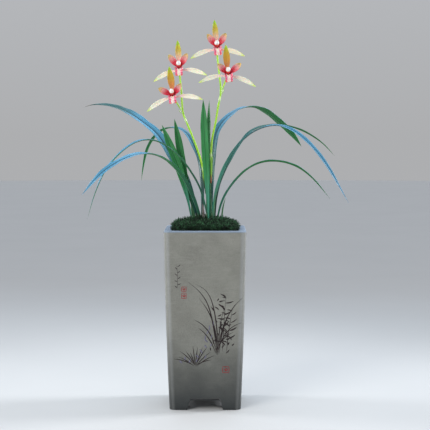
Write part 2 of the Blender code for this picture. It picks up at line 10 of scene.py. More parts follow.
import bmesh
import bpy
import numpy as np
from mathutils import Euler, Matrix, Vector


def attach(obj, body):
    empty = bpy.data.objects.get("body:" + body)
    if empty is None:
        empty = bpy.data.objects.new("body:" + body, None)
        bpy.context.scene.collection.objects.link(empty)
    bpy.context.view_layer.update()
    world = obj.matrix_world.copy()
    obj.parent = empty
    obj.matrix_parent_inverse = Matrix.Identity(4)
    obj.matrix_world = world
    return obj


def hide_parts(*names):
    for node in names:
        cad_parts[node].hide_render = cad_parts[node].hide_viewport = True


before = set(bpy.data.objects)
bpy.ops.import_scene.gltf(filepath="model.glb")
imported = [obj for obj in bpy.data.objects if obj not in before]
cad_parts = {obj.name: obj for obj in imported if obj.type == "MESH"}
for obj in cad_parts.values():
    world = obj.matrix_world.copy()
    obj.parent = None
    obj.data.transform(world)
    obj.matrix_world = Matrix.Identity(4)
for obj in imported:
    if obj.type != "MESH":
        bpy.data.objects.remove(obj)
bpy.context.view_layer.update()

MM = 0.001

# The pot, in mm, as in the CAD model
RIM = 262.0
RIM_HALF = 60.0
FOOT_HALF = 52.3
SIDE_BULGE = 0.9
CORNER_ROUND = 9.5
INNER_CORNER = 5.0
LIP_ROUND = 2.6
DRAIN_RADIUS = 10.0
FLOOR_TOP = 28.0
GAP_TOP = 14.0
GAP_ROUND = 2.4
GAP_ARC_HALF = 19.8
GAP_TOP_HALF = 22.4
GAP_FOOT_HALF = 26.6

LEAF_VEINS = 15
LEAF_RIBS = 4.5
PETAL_VEINS = 7
MOSS_HALF = 47.6
SHOOTS = 5200
FRONT_SHOOTS_FROM = 4300
LEAFLETS = 9

UP = np.array([0.0, 0.0, 1.0])
FRONT = np.array([0.0, -1.0, 0.0])


# ---------------------------------------------------------------- material helpers


class Look:
    """A material with short calls for the nodes used here. Plain numbers go straight onto the shader."""

    def __init__(self, name, roughness=0.5, **sockets):
        self.material = bpy.data.materials.new(name)
        self.material.use_nodes = True
        self.tree = self.material.node_tree
        self.shader = self.tree.nodes["Principled BSDF"]
        self.shader.inputs["Roughness"].default_value = roughness
        for key, value in sockets.items():
            self.shader.inputs[key.replace("_", " ")].default_value = value

    def node(self, kind, inputs=None, **settings):
        made = self.tree.nodes.new("ShaderNode" + kind)
        for key, value in settings.items():
            setattr(made, key, value)
        for key, value in (inputs or {}).items():
            if isinstance(value, bpy.types.NodeSocket):
                self.tree.links.new(value, made.inputs[key])
            else:
                made.inputs[key].default_value = value
        return made

    def math(self, operation, *values):
        return self.node("Math", dict(enumerate(values)), operation=operation).outputs[0]

    def times(self, a, b):
        return self.math("MULTIPLY", a, b)

    def plus(self, a, b):
        return self.math("ADD", a, b)

    def times_plus(self, a, b, c):
        return self.math("MULTIPLY_ADD", a, b, c)

    def off(self, value, centre):
        """How far value is from centre."""
        return self.math("ABSOLUTE", self.math("SUBTRACT", value, centre))

    def mix(self, share, a, b):
        colours = [(*c, 1.0) if isinstance(c, tuple) else c for c in (a, b)]
        inputs = {0: share, 6: colours[0], 7: colours[1]}
        return self.node("Mix", inputs, data_type="RGBA", clamp_factor=True).outputs[2]

    def ramp(self, share, *stops):
        made = self.node("ValToRGB", {"Fac": share})
        points = made.color_ramp.elements
        for _ in stops[2:]:
            points.new(0.5)
        for point, (position, colour) in zip(points, stops):
            point.position = position
            point.color = (*colour, 1.0)
        return made.outputs[0]

    def step(self, value, low, high):
        """0 below low, 1 above high, smooth between. low may be the greater."""
        inputs = {"Value": value, "From Min": low, "From Max": high}
        return self.node("MapRange", inputs, interpolation_type="SMOOTHSTEP").outputs[0]

    def strip(self):
        """(across, along) a blade or a tube, both from 0 to 1."""
        split = self.node("SeparateXYZ", {0: self.node("UVMap", uv_map="strip").outputs[0]})
        self.across, self.along = split.outputs[0], split.outputs[1]
        return self.across, self.along

    def here(self):
        return self.node("TexCoord").outputs["Object"]

    def own(self, name):
        return self.node("Attribute", attribute_name=name).outputs["Fac"]

    def vector(self, x, y, z=0.0):
        return self.node("CombineXYZ", {0: x, 1: y, 2: z}).outputs[0]

    def stretched(self, across_scale, along_scale, z=0.0):
        """A place for a pattern to follow the strip, once strip() has found it."""
        return self.vector(self.times(self.across, across_scale), self.times(self.along, along_scale), z)

    def noise(self, vector, scale, detail=3.0, roughness=0.55):
        inputs = {"Vector": vector, "Scale": scale, "Detail": detail, "Roughness": roughness}
        return self.node("TexNoise", inputs).outputs[0]

    def cells(self, vector, scale):
        return self.node("TexVoronoi", {"Vector": vector, "Scale": scale}).outputs["Distance"]

    def paint(self, colour=None, roughness=None, bumps=()):
        """Wires the colour, the roughness and any bumps, each a height, a distance in mm and a strength."""
        if colour is not None:
            self.tree.links.new(colour, self.shader.inputs["Base Color"])
        if roughness is not None:
            self.tree.links.new(roughness, self.shader.inputs["Roughness"])
        normal = None
        for height, distance, strength in bumps:
            inputs = {"Height": height, "Distance": distance * MM, "Strength": strength}
            if normal:
                inputs["Normal"] = normal
            normal = self.node("Bump", inputs).outputs[0]
        if normal:
            self.tree.links.new(normal, self.shader.inputs["Normal"])
        return self.material


def leaf_look(name, dark, middle, light, rib, roughness, channel=0.06, gloss=0.15, foot=0.42):
    """A ribbed strap leaf: mint where it clasps, brown at its very foot, scorched where told, with painted
    edge highlights and painted shade low down.
    """
    look = Look(name, roughness, Specular_IOR_Level=0.32, Coat_Weight=gloss, Coat_Roughness=0.4)
    across, along = look.strip()
    tone = look.own("tone")
    drift = look.noise(look.stretched(2.0, 7.0, tone), 1.0)
    place = look.stretched(34.0, 5.0, tone)
    fibres = look.noise(place, 1.0, 2.0, 0.5)
    wander = look.plus(across, look.times(drift, 0.03))
    veins = look.math("SINE", look.times(wander, 2 * math.pi * LEAF_VEINS))
    ribs = look.math("COSINE", look.times(wander, 2 * math.pi * LEAF_RIBS))
    shade = look.times_plus(veins, 0.03, look.times_plus(fibres, 0.22, 0.14))
    shade = look.times_plus(ribs, 0.07, shade)
    shade = look.times_plus(drift, 0.34, look.times_plus(tone, 0.4, look.plus(shade, -0.13)))
    colour = look.ramp(shade, (0.2, dark), (0.5, middle), (0.85, light))
    centre = look.off(across, 0.5)
    colour = look.mix(look.times(look.step(centre, channel, channel * 0.2), 0.85), colour, rib)
    # Painted highlight: both edges lighten towards the light stop.
    colour = look.mix(look.times(look.step(centre, 0.44, 0.5), 0.3), colour, light)
    # Painted shade: below foot the leaf darkens towards near black-green, where the crown and moss shade it.
    colour = look.mix(look.times(look.step(along, foot, foot * 0.45), 0.85), colour, (0.006, 0.05, 0.032))
    mint = look.times(look.step(along, 0.5, 0.16), look.times_plus(fibres, 0.5, 0.5))
    mint = look.times(mint, look.own("mint"))
    colour = look.mix(mint, colour, (0.08, 0.38, 0.25))
    colour = look.mix(look.step(along, 0.07, 0.02), colour, (0.16, 0.17, 0.09))
    dull = look.times(look.step(along, 0.6, 0.78), look.own("scorch"))
    colour = look.mix(look.times(dull, 0.9), colour, (0.012, 0.085, 0.07))
    scorched = look.step(look.times_plus(fibres, 0.03, along), 0.95, 0.99)
    colour = look.mix(look.times(scorched, look.own("scorch")), colour, (0.13, 0.1, 0.07))
    rough = look.times_plus(fibres, 0.16, roughness - 0.08)
    return look.paint(colour, rough, [(veins, 0.006, 0.4), (ribs, 0.025, 0.5)])


def floral_look(name, body, flush, vein, tip, flush_to, tip_from, vein_strength, rim=None, deep=0.12):
    """A sepal or petal: flushed at the foot, veined lengthwise, with its own tip and perhaps rim."""
    look = Look(
        name, 0.42, Specular_IOR_Level=0.45, Subsurface_Weight=0.25,
        Subsurface_Radius=(0.004, 0.0018, 0.0012),
        Subsurface_Scale=0.4, Sheen_Weight=0.05, Sheen_Roughness=0.4,
    )
    across, along = look.strip()
    tone = look.own("tone")
    drift = look.noise(look.stretched(4.0, 5.0, tone), 1.0)
    crystals = look.noise(look.stretched(90.0, 180.0), 1.0)
    wander = look.plus(across, look.times(drift, 0.05))
    wave = look.math("COSINE", look.times(look.math("SUBTRACT", wander, 0.525), 2 * math.pi * PETAL_VEINS))
    line = look.step(wave, 0.45, 0.98)
    edge = look.step(look.off(across, 0.5), 0.3, 0.5)
    if rim:
        body = look.mix(look.times(edge, look.step(along, 0.8, 0.4)), body, rim)
        wander_foot = look.times_plus(edge, 0.14, look.times_plus(line, -0.08, along))
    else:
        wander_foot = along
    flushed = look.step(look.times_plus(drift, 0.2, wander_foot), flush_to + 0.3, deep)
    colour = look.mix(flushed, body, flush)
    fade = look.times(look.step(along, 0.95, 0.35), vein_strength)
    colour = look.mix(look.times(line, fade), colour, vein)
    start = look.times_plus(edge, 0.12, look.times_plus(drift, 0.16, along))
    colour = look.mix(look.step(start, tip_from + 0.06, 1.06), colour, tip)
    colour = look.mix(look.times(crystals, 0.05), colour, (1.0, 0.98, 0.95))
    return look.paint(colour, None, [(line, 0.06, 0.5), (crystals, 0.01, 0.5)])


# The upper side's blue, brightest in its light stop, is a painted reflection of a cool overhead light laid
# over the leaf's teal; 0.56 is where its painted shade low down ends.
PAINTED_SHEEN_BLUE = leaf_look(
    "leaf upper side with painted sheen", (0.012, 0.075, 0.13), (0.05, 0.23, 0.37), (0.17, 0.45, 0.68), (0.006, 0.04, 0.075),
    0.46, 0.15, 0.12, 0.56
)
GREEN = leaf_look(
    "leaf under side", (0.006, 0.065, 0.015), (0.018, 0.17, 0.042), (0.055, 0.33, 0.1), (0.01, 0.09, 0.022),
    0.5, 0.06, 0.05
)
TEAL = leaf_look(
    "leaf shaded side", (0.008, 0.055, 0.055), (0.026, 0.14, 0.13), (0.08, 0.28, 0.29),
    (0.008, 0.055, 0.05), 0.46, 0.1, 0.1
)
SHEATH_LEAF = leaf_look(
    "sheath leaf", (0.02, 0.08, 0.03), (0.06, 0.17, 0.07), (0.16, 0.26, 0.15), (0.03, 0.1, 0.04), 0.5
)
CLASPING = leaf_look(
    "clasping sheath", (0.09, 0.07, 0.065), (0.17, 0.14, 0.13), (0.3, 0.27, 0.24), (0.1, 0.09, 0.07), 0.6
)
WARM_SEPAL = floral_look(
    "upper sepal warm", (0.56, 0.38, 0.01), (0.58, 0.16, 0.06), (0.5, 0.12, 0.05), (0.36, 0.64, 0.01), 0.5,
    0.7, 0.3
)
ROSY_SEPAL = floral_look(
    "upper sepal rosy", (0.56, 0.46, 0.02), (0.88, 0.6, 0.64), (0.78, 0.5, 0.46), (0.36, 0.68, 0.01), 0.5,
    0.7, 0.22
)
LATERAL = floral_look(
    "side sepal", (0.84, 0.83, 0.66), (0.86, 0.62, 0.6), (0.8, 0.62, 0.55), (0.6, 0.8, 0.14), 0.22, 0.78, 0.22
)
PETAL = floral_look(
    "petal", (0.78, 0.34, 0.33), (0.64, 0.003, 0.025), (0.66, 0.012, 0.08), (0.62, 0.46, 0.13), 0.5, 0.66,
    0.85,
    rim=(0.84, 0.13, 0.29), deep=0.44,
)


def lip_look():
    """Blush white down the middle, magenta down both sides, a crimson throat and loose crimson spots."""
    look = Look(
        "lip", 0.4, Specular_IOR_Level=0.5, Subsurface_Weight=0.25, Subsurface_Radius=(0.004, 0.0015, 0.0012),
        Subsurface_Scale=0.4, Coat_Weight=0.15, Coat_Roughness=0.3,
    )
    across, along = look.strip()
    side = look.off(across, 0.5)
    place = look.stretched(6.0, 9.0, look.own("tone"))
    drift = look.noise(place, 0.7)
    spots = look.cells(place, 1.0)
    colour = look.mix(look.step(drift, 0.4, 0.75), (0.93, 0.82, 0.74), (0.9, 0.56, 0.56))
    flank = look.step(look.times_plus(drift, 0.16, side), 0.25, 0.37)
    colour = look.mix(look.times(flank, 0.9), colour, (0.86, 0.07, 0.22))
    stripe = look.step(look.off(side, 0.4), 0.05, 0.02)
    pale = look.times(stripe, look.step(along, 0.72, 0.5))
    colour = look.mix(look.times(pale, 0.6), colour, (0.92, 0.62, 0.62))
    blotch = look.step(look.times_plus(side, -0.3, spots), 0.2, 0.1)
    colour = look.mix(blotch, colour, (0.66, 0.01, 0.05))
    hem = look.times(look.step(along, 0.86, 0.97), look.step(side, 0.1, 0.3))
    colour = look.mix(hem, colour, (0.86, 0.17, 0.11))
    colour = look.mix(look.step(look.times_plus(drift, 0.08, along), 0.36, 0.2), colour, (0.5, 0.004, 0.015))
    return look.paint(colour, None, [(spots, 0.12, 0.4), (look.noise(place, 9.0), 0.03, 0.4)])


def column_look():
    look = Look("column", 0.38, Specular_IOR_Level=0.5, Subsurface_Weight=0.2, Subsurface_Scale=0.3)
    across, along = look.strip()
    place = look.stretched(14.0, 12.0)
    spots = look.step(look.cells(place, 1.0), 0.34, 0.12)
    colour = look.mix(look.step(along, 0.5, 0.2), (0.62, 0.02, 0.03), (0.4, 0.003, 0.01))
    colour = look.mix(look.step(along, 0.51, 0.56), colour, (0.8, 0.5, 0.12))
    return look.paint(look.mix(spots, colour, (0.4, 0.003, 0.008)), None, [(spots, 0.05, 0.4)])


def cap_look():
    look = Look("anther cap", 0.3, Specular_IOR_Level=0.55, Subsurface_Weight=0.3, Subsurface_Scale=0.4)
    grain = look.noise(look.here(), 900.0)
    colour = look.ramp(grain, (0.3, (0.94, 0.93, 0.84)), (0.7, (0.98, 0.975, 0.93)))
    return look.paint(colour, None, [(grain, 0.02, 0.4)])


def stem_look():
    look = Look("stem", 0.46, Specular_IOR_Level=0.35, Subsurface_Weight=0.15, Subsurface_Scale=0.4)
    across, along = look.strip()
    streaks = look.noise(look.stretched(26.0, 5.0), 1.0)
    patches = look.noise(look.here(), 70.0)
    colour = look.ramp(
        streaks, (0.25, (0.16, 0.46, 0.004)), (0.5, (0.27, 0.63, 0.012)), (0.8, (0.42, 0.76, 0.05))
    )
    colour = look.mix(look.times(look.step(patches, 0.55, 0.8), 0.4), colour, (0.5, 0.62, 0.1))
    colour = look.mix(look.step(look.own("pale"), 0.0, 1.0), colour, (0.66, 0.78, 0.36))
    # Painted shade: the stem turns deep green low down, where leaves and sheaths shade it.
    colour = look.mix(look.step(look.own("shade"), 0.0, 1.0), colour, (0.02, 0.09, 0.03))
    return look.paint(colour, None, [(streaks, 0.03, 0.6)])


def papery_look():
    """Green and streaky, turning red-brown along its left edge and towards its foot."""
    look = Look("stem sheath", 0.5, Specular_IOR_Level=0.4, Subsurface_Weight=0.1, Subsurface_Scale=0.3)
    across, along = look.strip()
    streaks = look.noise(look.stretched(40.0, 3.0), 1.0)
    colour = look.ramp(streaks, (0.3, (0.12, 0.33, 0.02)), (0.55, (0.24, 0.5, 0.03)), (0.8, (0.4, 0.6, 0.1)))
    facing = look.math("COSINE", look.times(look.math("SUBTRACT", across, 0.42), 2 * math.pi))
    low = look.times_plus(facing, 0.22, look.step(along, 0.72, 0.12))
    colour = look.mix(look.step(low, 0.35, 0.85), colour, (0.26, 0.045, 0.02))
    # Painted shade: where shade is given, the lower half darkens to deep green.
    colour = look.mix(
        look.times(look.own("shade"), look.step(along, 0.9, 0.5)), colour, (0.016, 0.075, 0.022)
    )
    return look.paint(colour, None, [(streaks, 0.2, 0.7)])


def bract_look():
    look = Look("bract", 0.5, Specular_IOR_Level=0.4)
    across, along = look.strip()
    streaks = look.noise(look.stretched(20.0, 3.0), 1.0)
    colour = look.ramp(streaks, (0.3, (0.36, 0.56, 0.16)), (0.7, (0.62, 0.74, 0.4)))
    return look.paint(
        look.mix(look.step(along, 0.75, 1.0), colour, (0.4, 0.3, 0.12)), None, [(streaks, 0.15, 0.6)]
    )


def stoneware_look():
    """Unglazed, sandy, grey clay: iron specks, faint wiping marks, painted shade low down, edges paled by
    wear and painted highlight, and a painted blue reflection on the lip.
    """
    look = Look("stoneware", 0.8, Specular_IOR_Level=0.35)
    here = look.here()
    sand = look.noise(here, 2600.0, 2.0, 0.7)
    grit = look.noise(here, 700.0, 3.0, 0.6)
    clouds = look.noise(here, 22.0, 4.0, 0.6)
    split = look.node("SeparateXYZ", {0: here})
    wiped = look.noise(
        look.vector(split.outputs[0], split.outputs[1], look.times(split.outputs[2], 7.0)), 60.0
    )
    specks = look.step(look.cells(here, 420.0), 0.16, 0.07)
    pits = look.step(look.cells(here, 260.0), 0.1, 0.03)
    shade = look.times_plus(clouds, 0.5, look.times_plus(grit, 0.3, look.times(sand, 0.2)))
    colour = look.ramp(
        shade, (0.32, (0.165, 0.163, 0.143)), (0.52, (0.235, 0.235, 0.208)), (0.7, (0.3, 0.298, 0.264))
    )
    colour = look.mix(look.times(look.step(wiped, 0.52, 0.7), 0.25), colour, (0.31, 0.31, 0.28))
    colour = look.mix(look.times(specks, 0.6), colour, (0.06, 0.05, 0.045))
    # Wear and painted highlight: outer edges and the top of the lip turn pale.
    worn = look.times(look.own("edge"), look.times_plus(grit, 0.3, 0.45))
    colour = look.mix(worn, colour, (0.36, 0.37, 0.38))
    # Painted shade: the clay darkens towards the foot, a little less on the edges.
    low = look.times_plus(clouds, 0.03, split.outputs[2])
    painted_shade_low = look.times(look.step(low, 0.16, 0.004), look.times_plus(look.own("edge"), -0.3, 0.94))
    colour = look.mix(painted_shade_low, colour, (0.022, 0.027, 0.03))
    # Painted reflection: the top 2 mm of the lip take the blue of a cool overhead light.
    lip = look.step(look.times_plus(clouds, 0.002, split.outputs[2]), 0.26, 0.262)
    colour = look.mix(look.times(lip, 0.85), colour, (0.2, 0.26, 0.35))
    rough = look.times_plus(grit, 0.24, 0.68)
    return look.paint(
        colour, rough, [(clouds, 1.2, 0.3), (grit, 0.25, 0.55), (sand, 0.12, 0.6), (pits, -0.3, 0.6)]
    )


def ink_look(name, dark, light, roughness=0.62):
    """Pigment brushed onto the raw clay, thin in places."""
    look = Look(name, roughness, Specular_IOR_Level=0.4)
    here = look.here()
    dry = look.noise(here, 900.0, 3.0, 0.7)
    pooled = look.noise(here, 130.0)
    colour = look.mix(look.step(look.times_plus(pooled, 0.5, look.times(dry, 0.5)), 0.42, 0.68), dark, light)
    return look.paint(colour, None, [(dry, 0.1, 0.5)])


def moss_look(name, dark, light, tips):
    look = Look(name, 0.85, Specular_IOR_Level=0.25, Sheen_Weight=0.1)
    tone = look.own("tone")
    patches = look.noise(look.here(), 60.0)
    shade = look.times_plus(patches, 0.55, look.times(tone, 0.5))
    colour = look.ramp(shade, (0.3, dark), (0.75, light))
    lit = look.times(look.step(look.own("reach"), 0.4, 1.0), look.step(tone, 0.45, 0.95))
    colour = look.mix(look.times(lit, 0.85), colour, tips)
    return look.paint(colour, None, [(look.noise(look.here(), 500.0), 0.4, 0.6)])


def loose_look(name, dark, middle, light, size):
    """Crumbs, bark or grit: each cell has its own shade."""
    look = Look(name, 0.92, Specular_IOR_Level=0.2)
    here = look.here()
    cell = look.node("TexVoronoi", {"Vector": here, "Scale": 1000.0 / size})
    shade = look.node("SeparateColor", {0: cell.outputs["Color"]}).outputs[0]
    colour = look.ramp(shade, (0.1, dark), (0.5, middle), (0.9, light))
    return look.paint(
        colour, None, [(cell.outputs["Distance"], size * 0.4, 0.8), (look.noise(here, 800.0), 0.4, 0.6)]
    )


def screen_look():
    look = Look("drain screen", 0.55, Specular_IOR_Level=0.4)
    grain = look.noise(look.here(), 1500.0)
    rough = look.times_plus(grain, 0.25, 0.42)
    return look.paint(
        look.ramp(grain, (0.3, (0.012, 0.012, 0.012)), (0.7, (0.03, 0.03, 0.03))), rough,
        [(grain, 0.1, 0.4)]
    )


def bulb_look():
    look = Look("pseudobulb", 0.5, Specular_IOR_Level=0.4)
    fibres = look.noise(look.here(), 300.0)
    colour = look.ramp(fibres, (0.3, (0.1, 0.13, 0.04)), (0.6, (0.2, 0.24, 0.08)), (0.85, (0.36, 0.27, 0.14)))
    return look.paint(colour, None, [(fibres, 0.4, 0.6)])


LIP = lip_look()
COLUMN = column_look()
CAP = cap_look()
STEM = stem_look()
PAPERY = papery_look()
BRACT = bract_look()
STONEWARE = stoneware_look()
INK = ink_look("brown ink", (0.01, 0.004, 0.005), (0.03, 0.014, 0.015))
LILAC = ink_look("lilac wash", (0.13, 0.125, 0.18), (0.2, 0.2, 0.25), 0.75)
RED = ink_look("red wash", (0.27, 0.005, 0.012), (0.36, 0.02, 0.026))
MOSS = moss_look("moss", (0.0015, 0.008, 0.0025), (0.009, 0.044, 0.013), (0.07, 0.23, 0.1))


# ---------------------------------------------------------------- mesh helpers


def unit(v):
    return v / np.linalg.norm(v, axis=-1, keepdims=True)


def soften(values, passes):
    """Averages each value or point with its neighbours, in place, all but the two ends."""
    for _ in range(passes):
        values[1:-1] = 0.25 * values[:-2] + 0.5 * values[1:-1] + 0.25 * values[2:]


def smooth_path(points, count, passes=0):
    """count points, evenly spaced along a Catmull-Rom curve through the given ones, then softened."""
    p = np.array(points, float)
    p = np.vstack([2 * p[0] - p[1], p, 2 * p[-1] - p[-2]])
    t = np.linspace(0, 1, 32, endpoint=False)[:, None]
    fine = []
    for a, b, c, d in zip(p, p[1:], p[2:], p[3:]):
        cubic = (2 * a - 5 * b + 4 * c - d) * t**2 + (3 * b - a - 3 * c + d) * t**3
        fine.append(0.5 * (2 * b + (c - a) * t + cubic))
    fine = np.vstack([*fine, p[-2]])
    for _ in range(2):
        run = np.concatenate([[0.0], np.cumsum(np.linalg.norm(np.diff(fine, axis=0), axis=1))])
        even = np.linspace(0, run[-1], count)
        fine = np.stack([np.interp(even, run, fine[:, k]) for k in range(3)], axis=1)
        soften(fine, passes)
    return fine


def tangents(path):
    return unit(np.vstack([path[1] - path[0], path[2:] - path[:-2], path[-1] - path[-2]]))


def ring_directions(path, reference, sides):
    """The way along a path, the angles round it, and the way outward at each."""
    t = tangents(path)
    first = unit(np.cross(t, reference))
    second = np.cross(t, first)
    a = np.linspace(0, 2 * math.pi, sides, endpoint=False)
    return t, a, np.cos(a)[None, :, None] * first[:, None] + np.sin(a)[None, :, None] * second[:, None]


def across_path(path, side, across, face, rise):
    """A grid of points beside a path: across along side, and rise along face."""
    return path[:, None] + side[:, None] * across[..., None] + face[:, None] * rise[..., None]


def add_object(name, data):
    obj = bpy.data.objects.new(name, data)
    bpy.context.scene.collection.objects.link(obj)
    return obj


def set_values(mesh, key, data):
    mesh.attributes.new(key, "FLOAT", "POINT").data.foreach_set("value", np.asarray(data, np.float32))


def coordinates(mesh):
    points = np.empty(len(mesh.vertices) * 3)
    mesh.vertices.foreach_get("co", points)
    return points.reshape(-1, 3)


def finish_mesh(name, points, faces, materials, kinds, strip=None, values=None, sharp=None):
    """A mesh object from points in millimetres, with its normals turned out and shaded smooth."""
    mesh = bpy.data.meshes.new(name)
    mesh.from_pydata((np.asarray(points) * MM).tolist(), [], [tuple(int(i) for i in f) for f in faces])
    for material in materials:
        mesh.materials.append(material)
    mesh.polygons.foreach_set("material_index", np.asarray(kinds, np.int32))
    if strip is not None:
        layer = mesh.uv_layers.new(name="strip")
        loops = np.empty(len(mesh.loops), np.int32)
        mesh.loops.foreach_get("vertex_index", loops)
        layer.data.foreach_set("uv", np.asarray(strip, np.float32)[loops].ravel())
    for key, data in (values or {}).items():
        set_values(mesh, key, data)
    bm = bmesh.new()
    bm.from_mesh(mesh)
    bmesh.ops.recalc_face_normals(bm, faces=bm.faces)
    bm.to_mesh(mesh)
    bm.free()
    mesh.shade_smooth()
    if sharp:
        mesh.set_sharp_from_angle(angle=math.radians(sharp))
    return add_object(name, mesh)


def stand_for(obj, slot, *nodes):
    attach(obj, "root")
    if nodes:
        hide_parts(*nodes)
    return obj


def grid_faces(rows, columns, start=0, wrap=False):
    """Quads over a grid of points; wrap joins the last column to the first."""
    i = np.arange(rows - 1)[:, None]
    j = np.arange(columns if wrap else columns - 1)[None, :]
    k = (j + 1) % columns
    quads = np.stack(
        [i * columns + j, i * columns + k, (i + 1) * columns + k, (i + 1) * columns + j], axis=-1
    )
    return quads.reshape(-1, 4) + start


def shell_faces(rows, columns):
    """The faces of a closed body between two grids of points, and how many of them are on its edge."""
    count = rows * columns
    border = [i * columns for i in range(rows)]
    border += [(rows - 1) * columns + j for j in range(1, columns)]
    border += [i * columns + columns - 1 for i in range(rows - 2, -1, -1)]
    border += list(range(columns - 2, 0, -1))
    rim = [(a, b, b + count, a + count) for a, b in zip(border, border[1:] + border[:1])]
    return [*grid_faces(rows, columns), *grid_faces(rows, columns, count)[:, ::-1], *rim], len(rim)


def sheet_object(name, top, under, materials, tone, scorch=0.0, mint=0.0):
    """A closed thin body between two grids, each lengthwise by across."""
    rows, columns = top.shape[:2]
    faces, edge = shell_faces(rows, columns)
    kinds = [0] * ((rows - 1) * (columns - 1)) + [1] * ((rows - 1) * (columns - 1)) + [0] * edge
    across, along = np.meshgrid(np.linspace(0, 1, columns), np.linspace(0, 1, rows))
    strip = np.tile(np.stack([across.ravel(), along.ravel()], axis=1), (2, 1))
    points = np.concatenate([top.reshape(-1, 3), under.reshape(-1, 3)])
    values = {"tone": tone, "scorch": scorch, "mint": mint}
    values = {key: np.full(len(points), value) for key, value in values.items()}
    return finish_mesh(name, points, faces, materials, kinds, strip, values)


def tube_object(
    name, path, radii, materials, sides=20, kinds_of=None, reference=FRONT, pale=None, shade=None
):
    """A closed tube along a path. pale and shade, from 0 to 1 at each station, tint it; shade is painted
    shade.
    """
    path = np.asarray(path, float)
    rows = len(path)
    _, a, ring = ring_directions(path, reference, sides)
    points = path[:, None] + ring * np.asarray(radii)[:, None, None]
    points = points.reshape(-1, 3)
    faces = [*grid_faces(rows, sides, wrap=True), range(sides), range((rows - 1) * sides, rows * sides)]
    along = np.repeat(np.linspace(0, 1, rows), sides)
    strip = np.stack([np.tile(np.abs(a / math.pi - 1), rows), along], axis=1)
    kinds = [0] * len(faces)
    if kinds_of:
        kinds = [kinds_of(along[f[0]]) for f in faces]
    values = {}
    for key, data in (("pale", pale), ("shade", shade)):
        values[key] = np.repeat(np.zeros(rows) if data is None else data, sides)
    return finish_mesh(name, points, faces, materials, kinds, strip, values, 60)


# ---------------------------------------------------------------- leaves

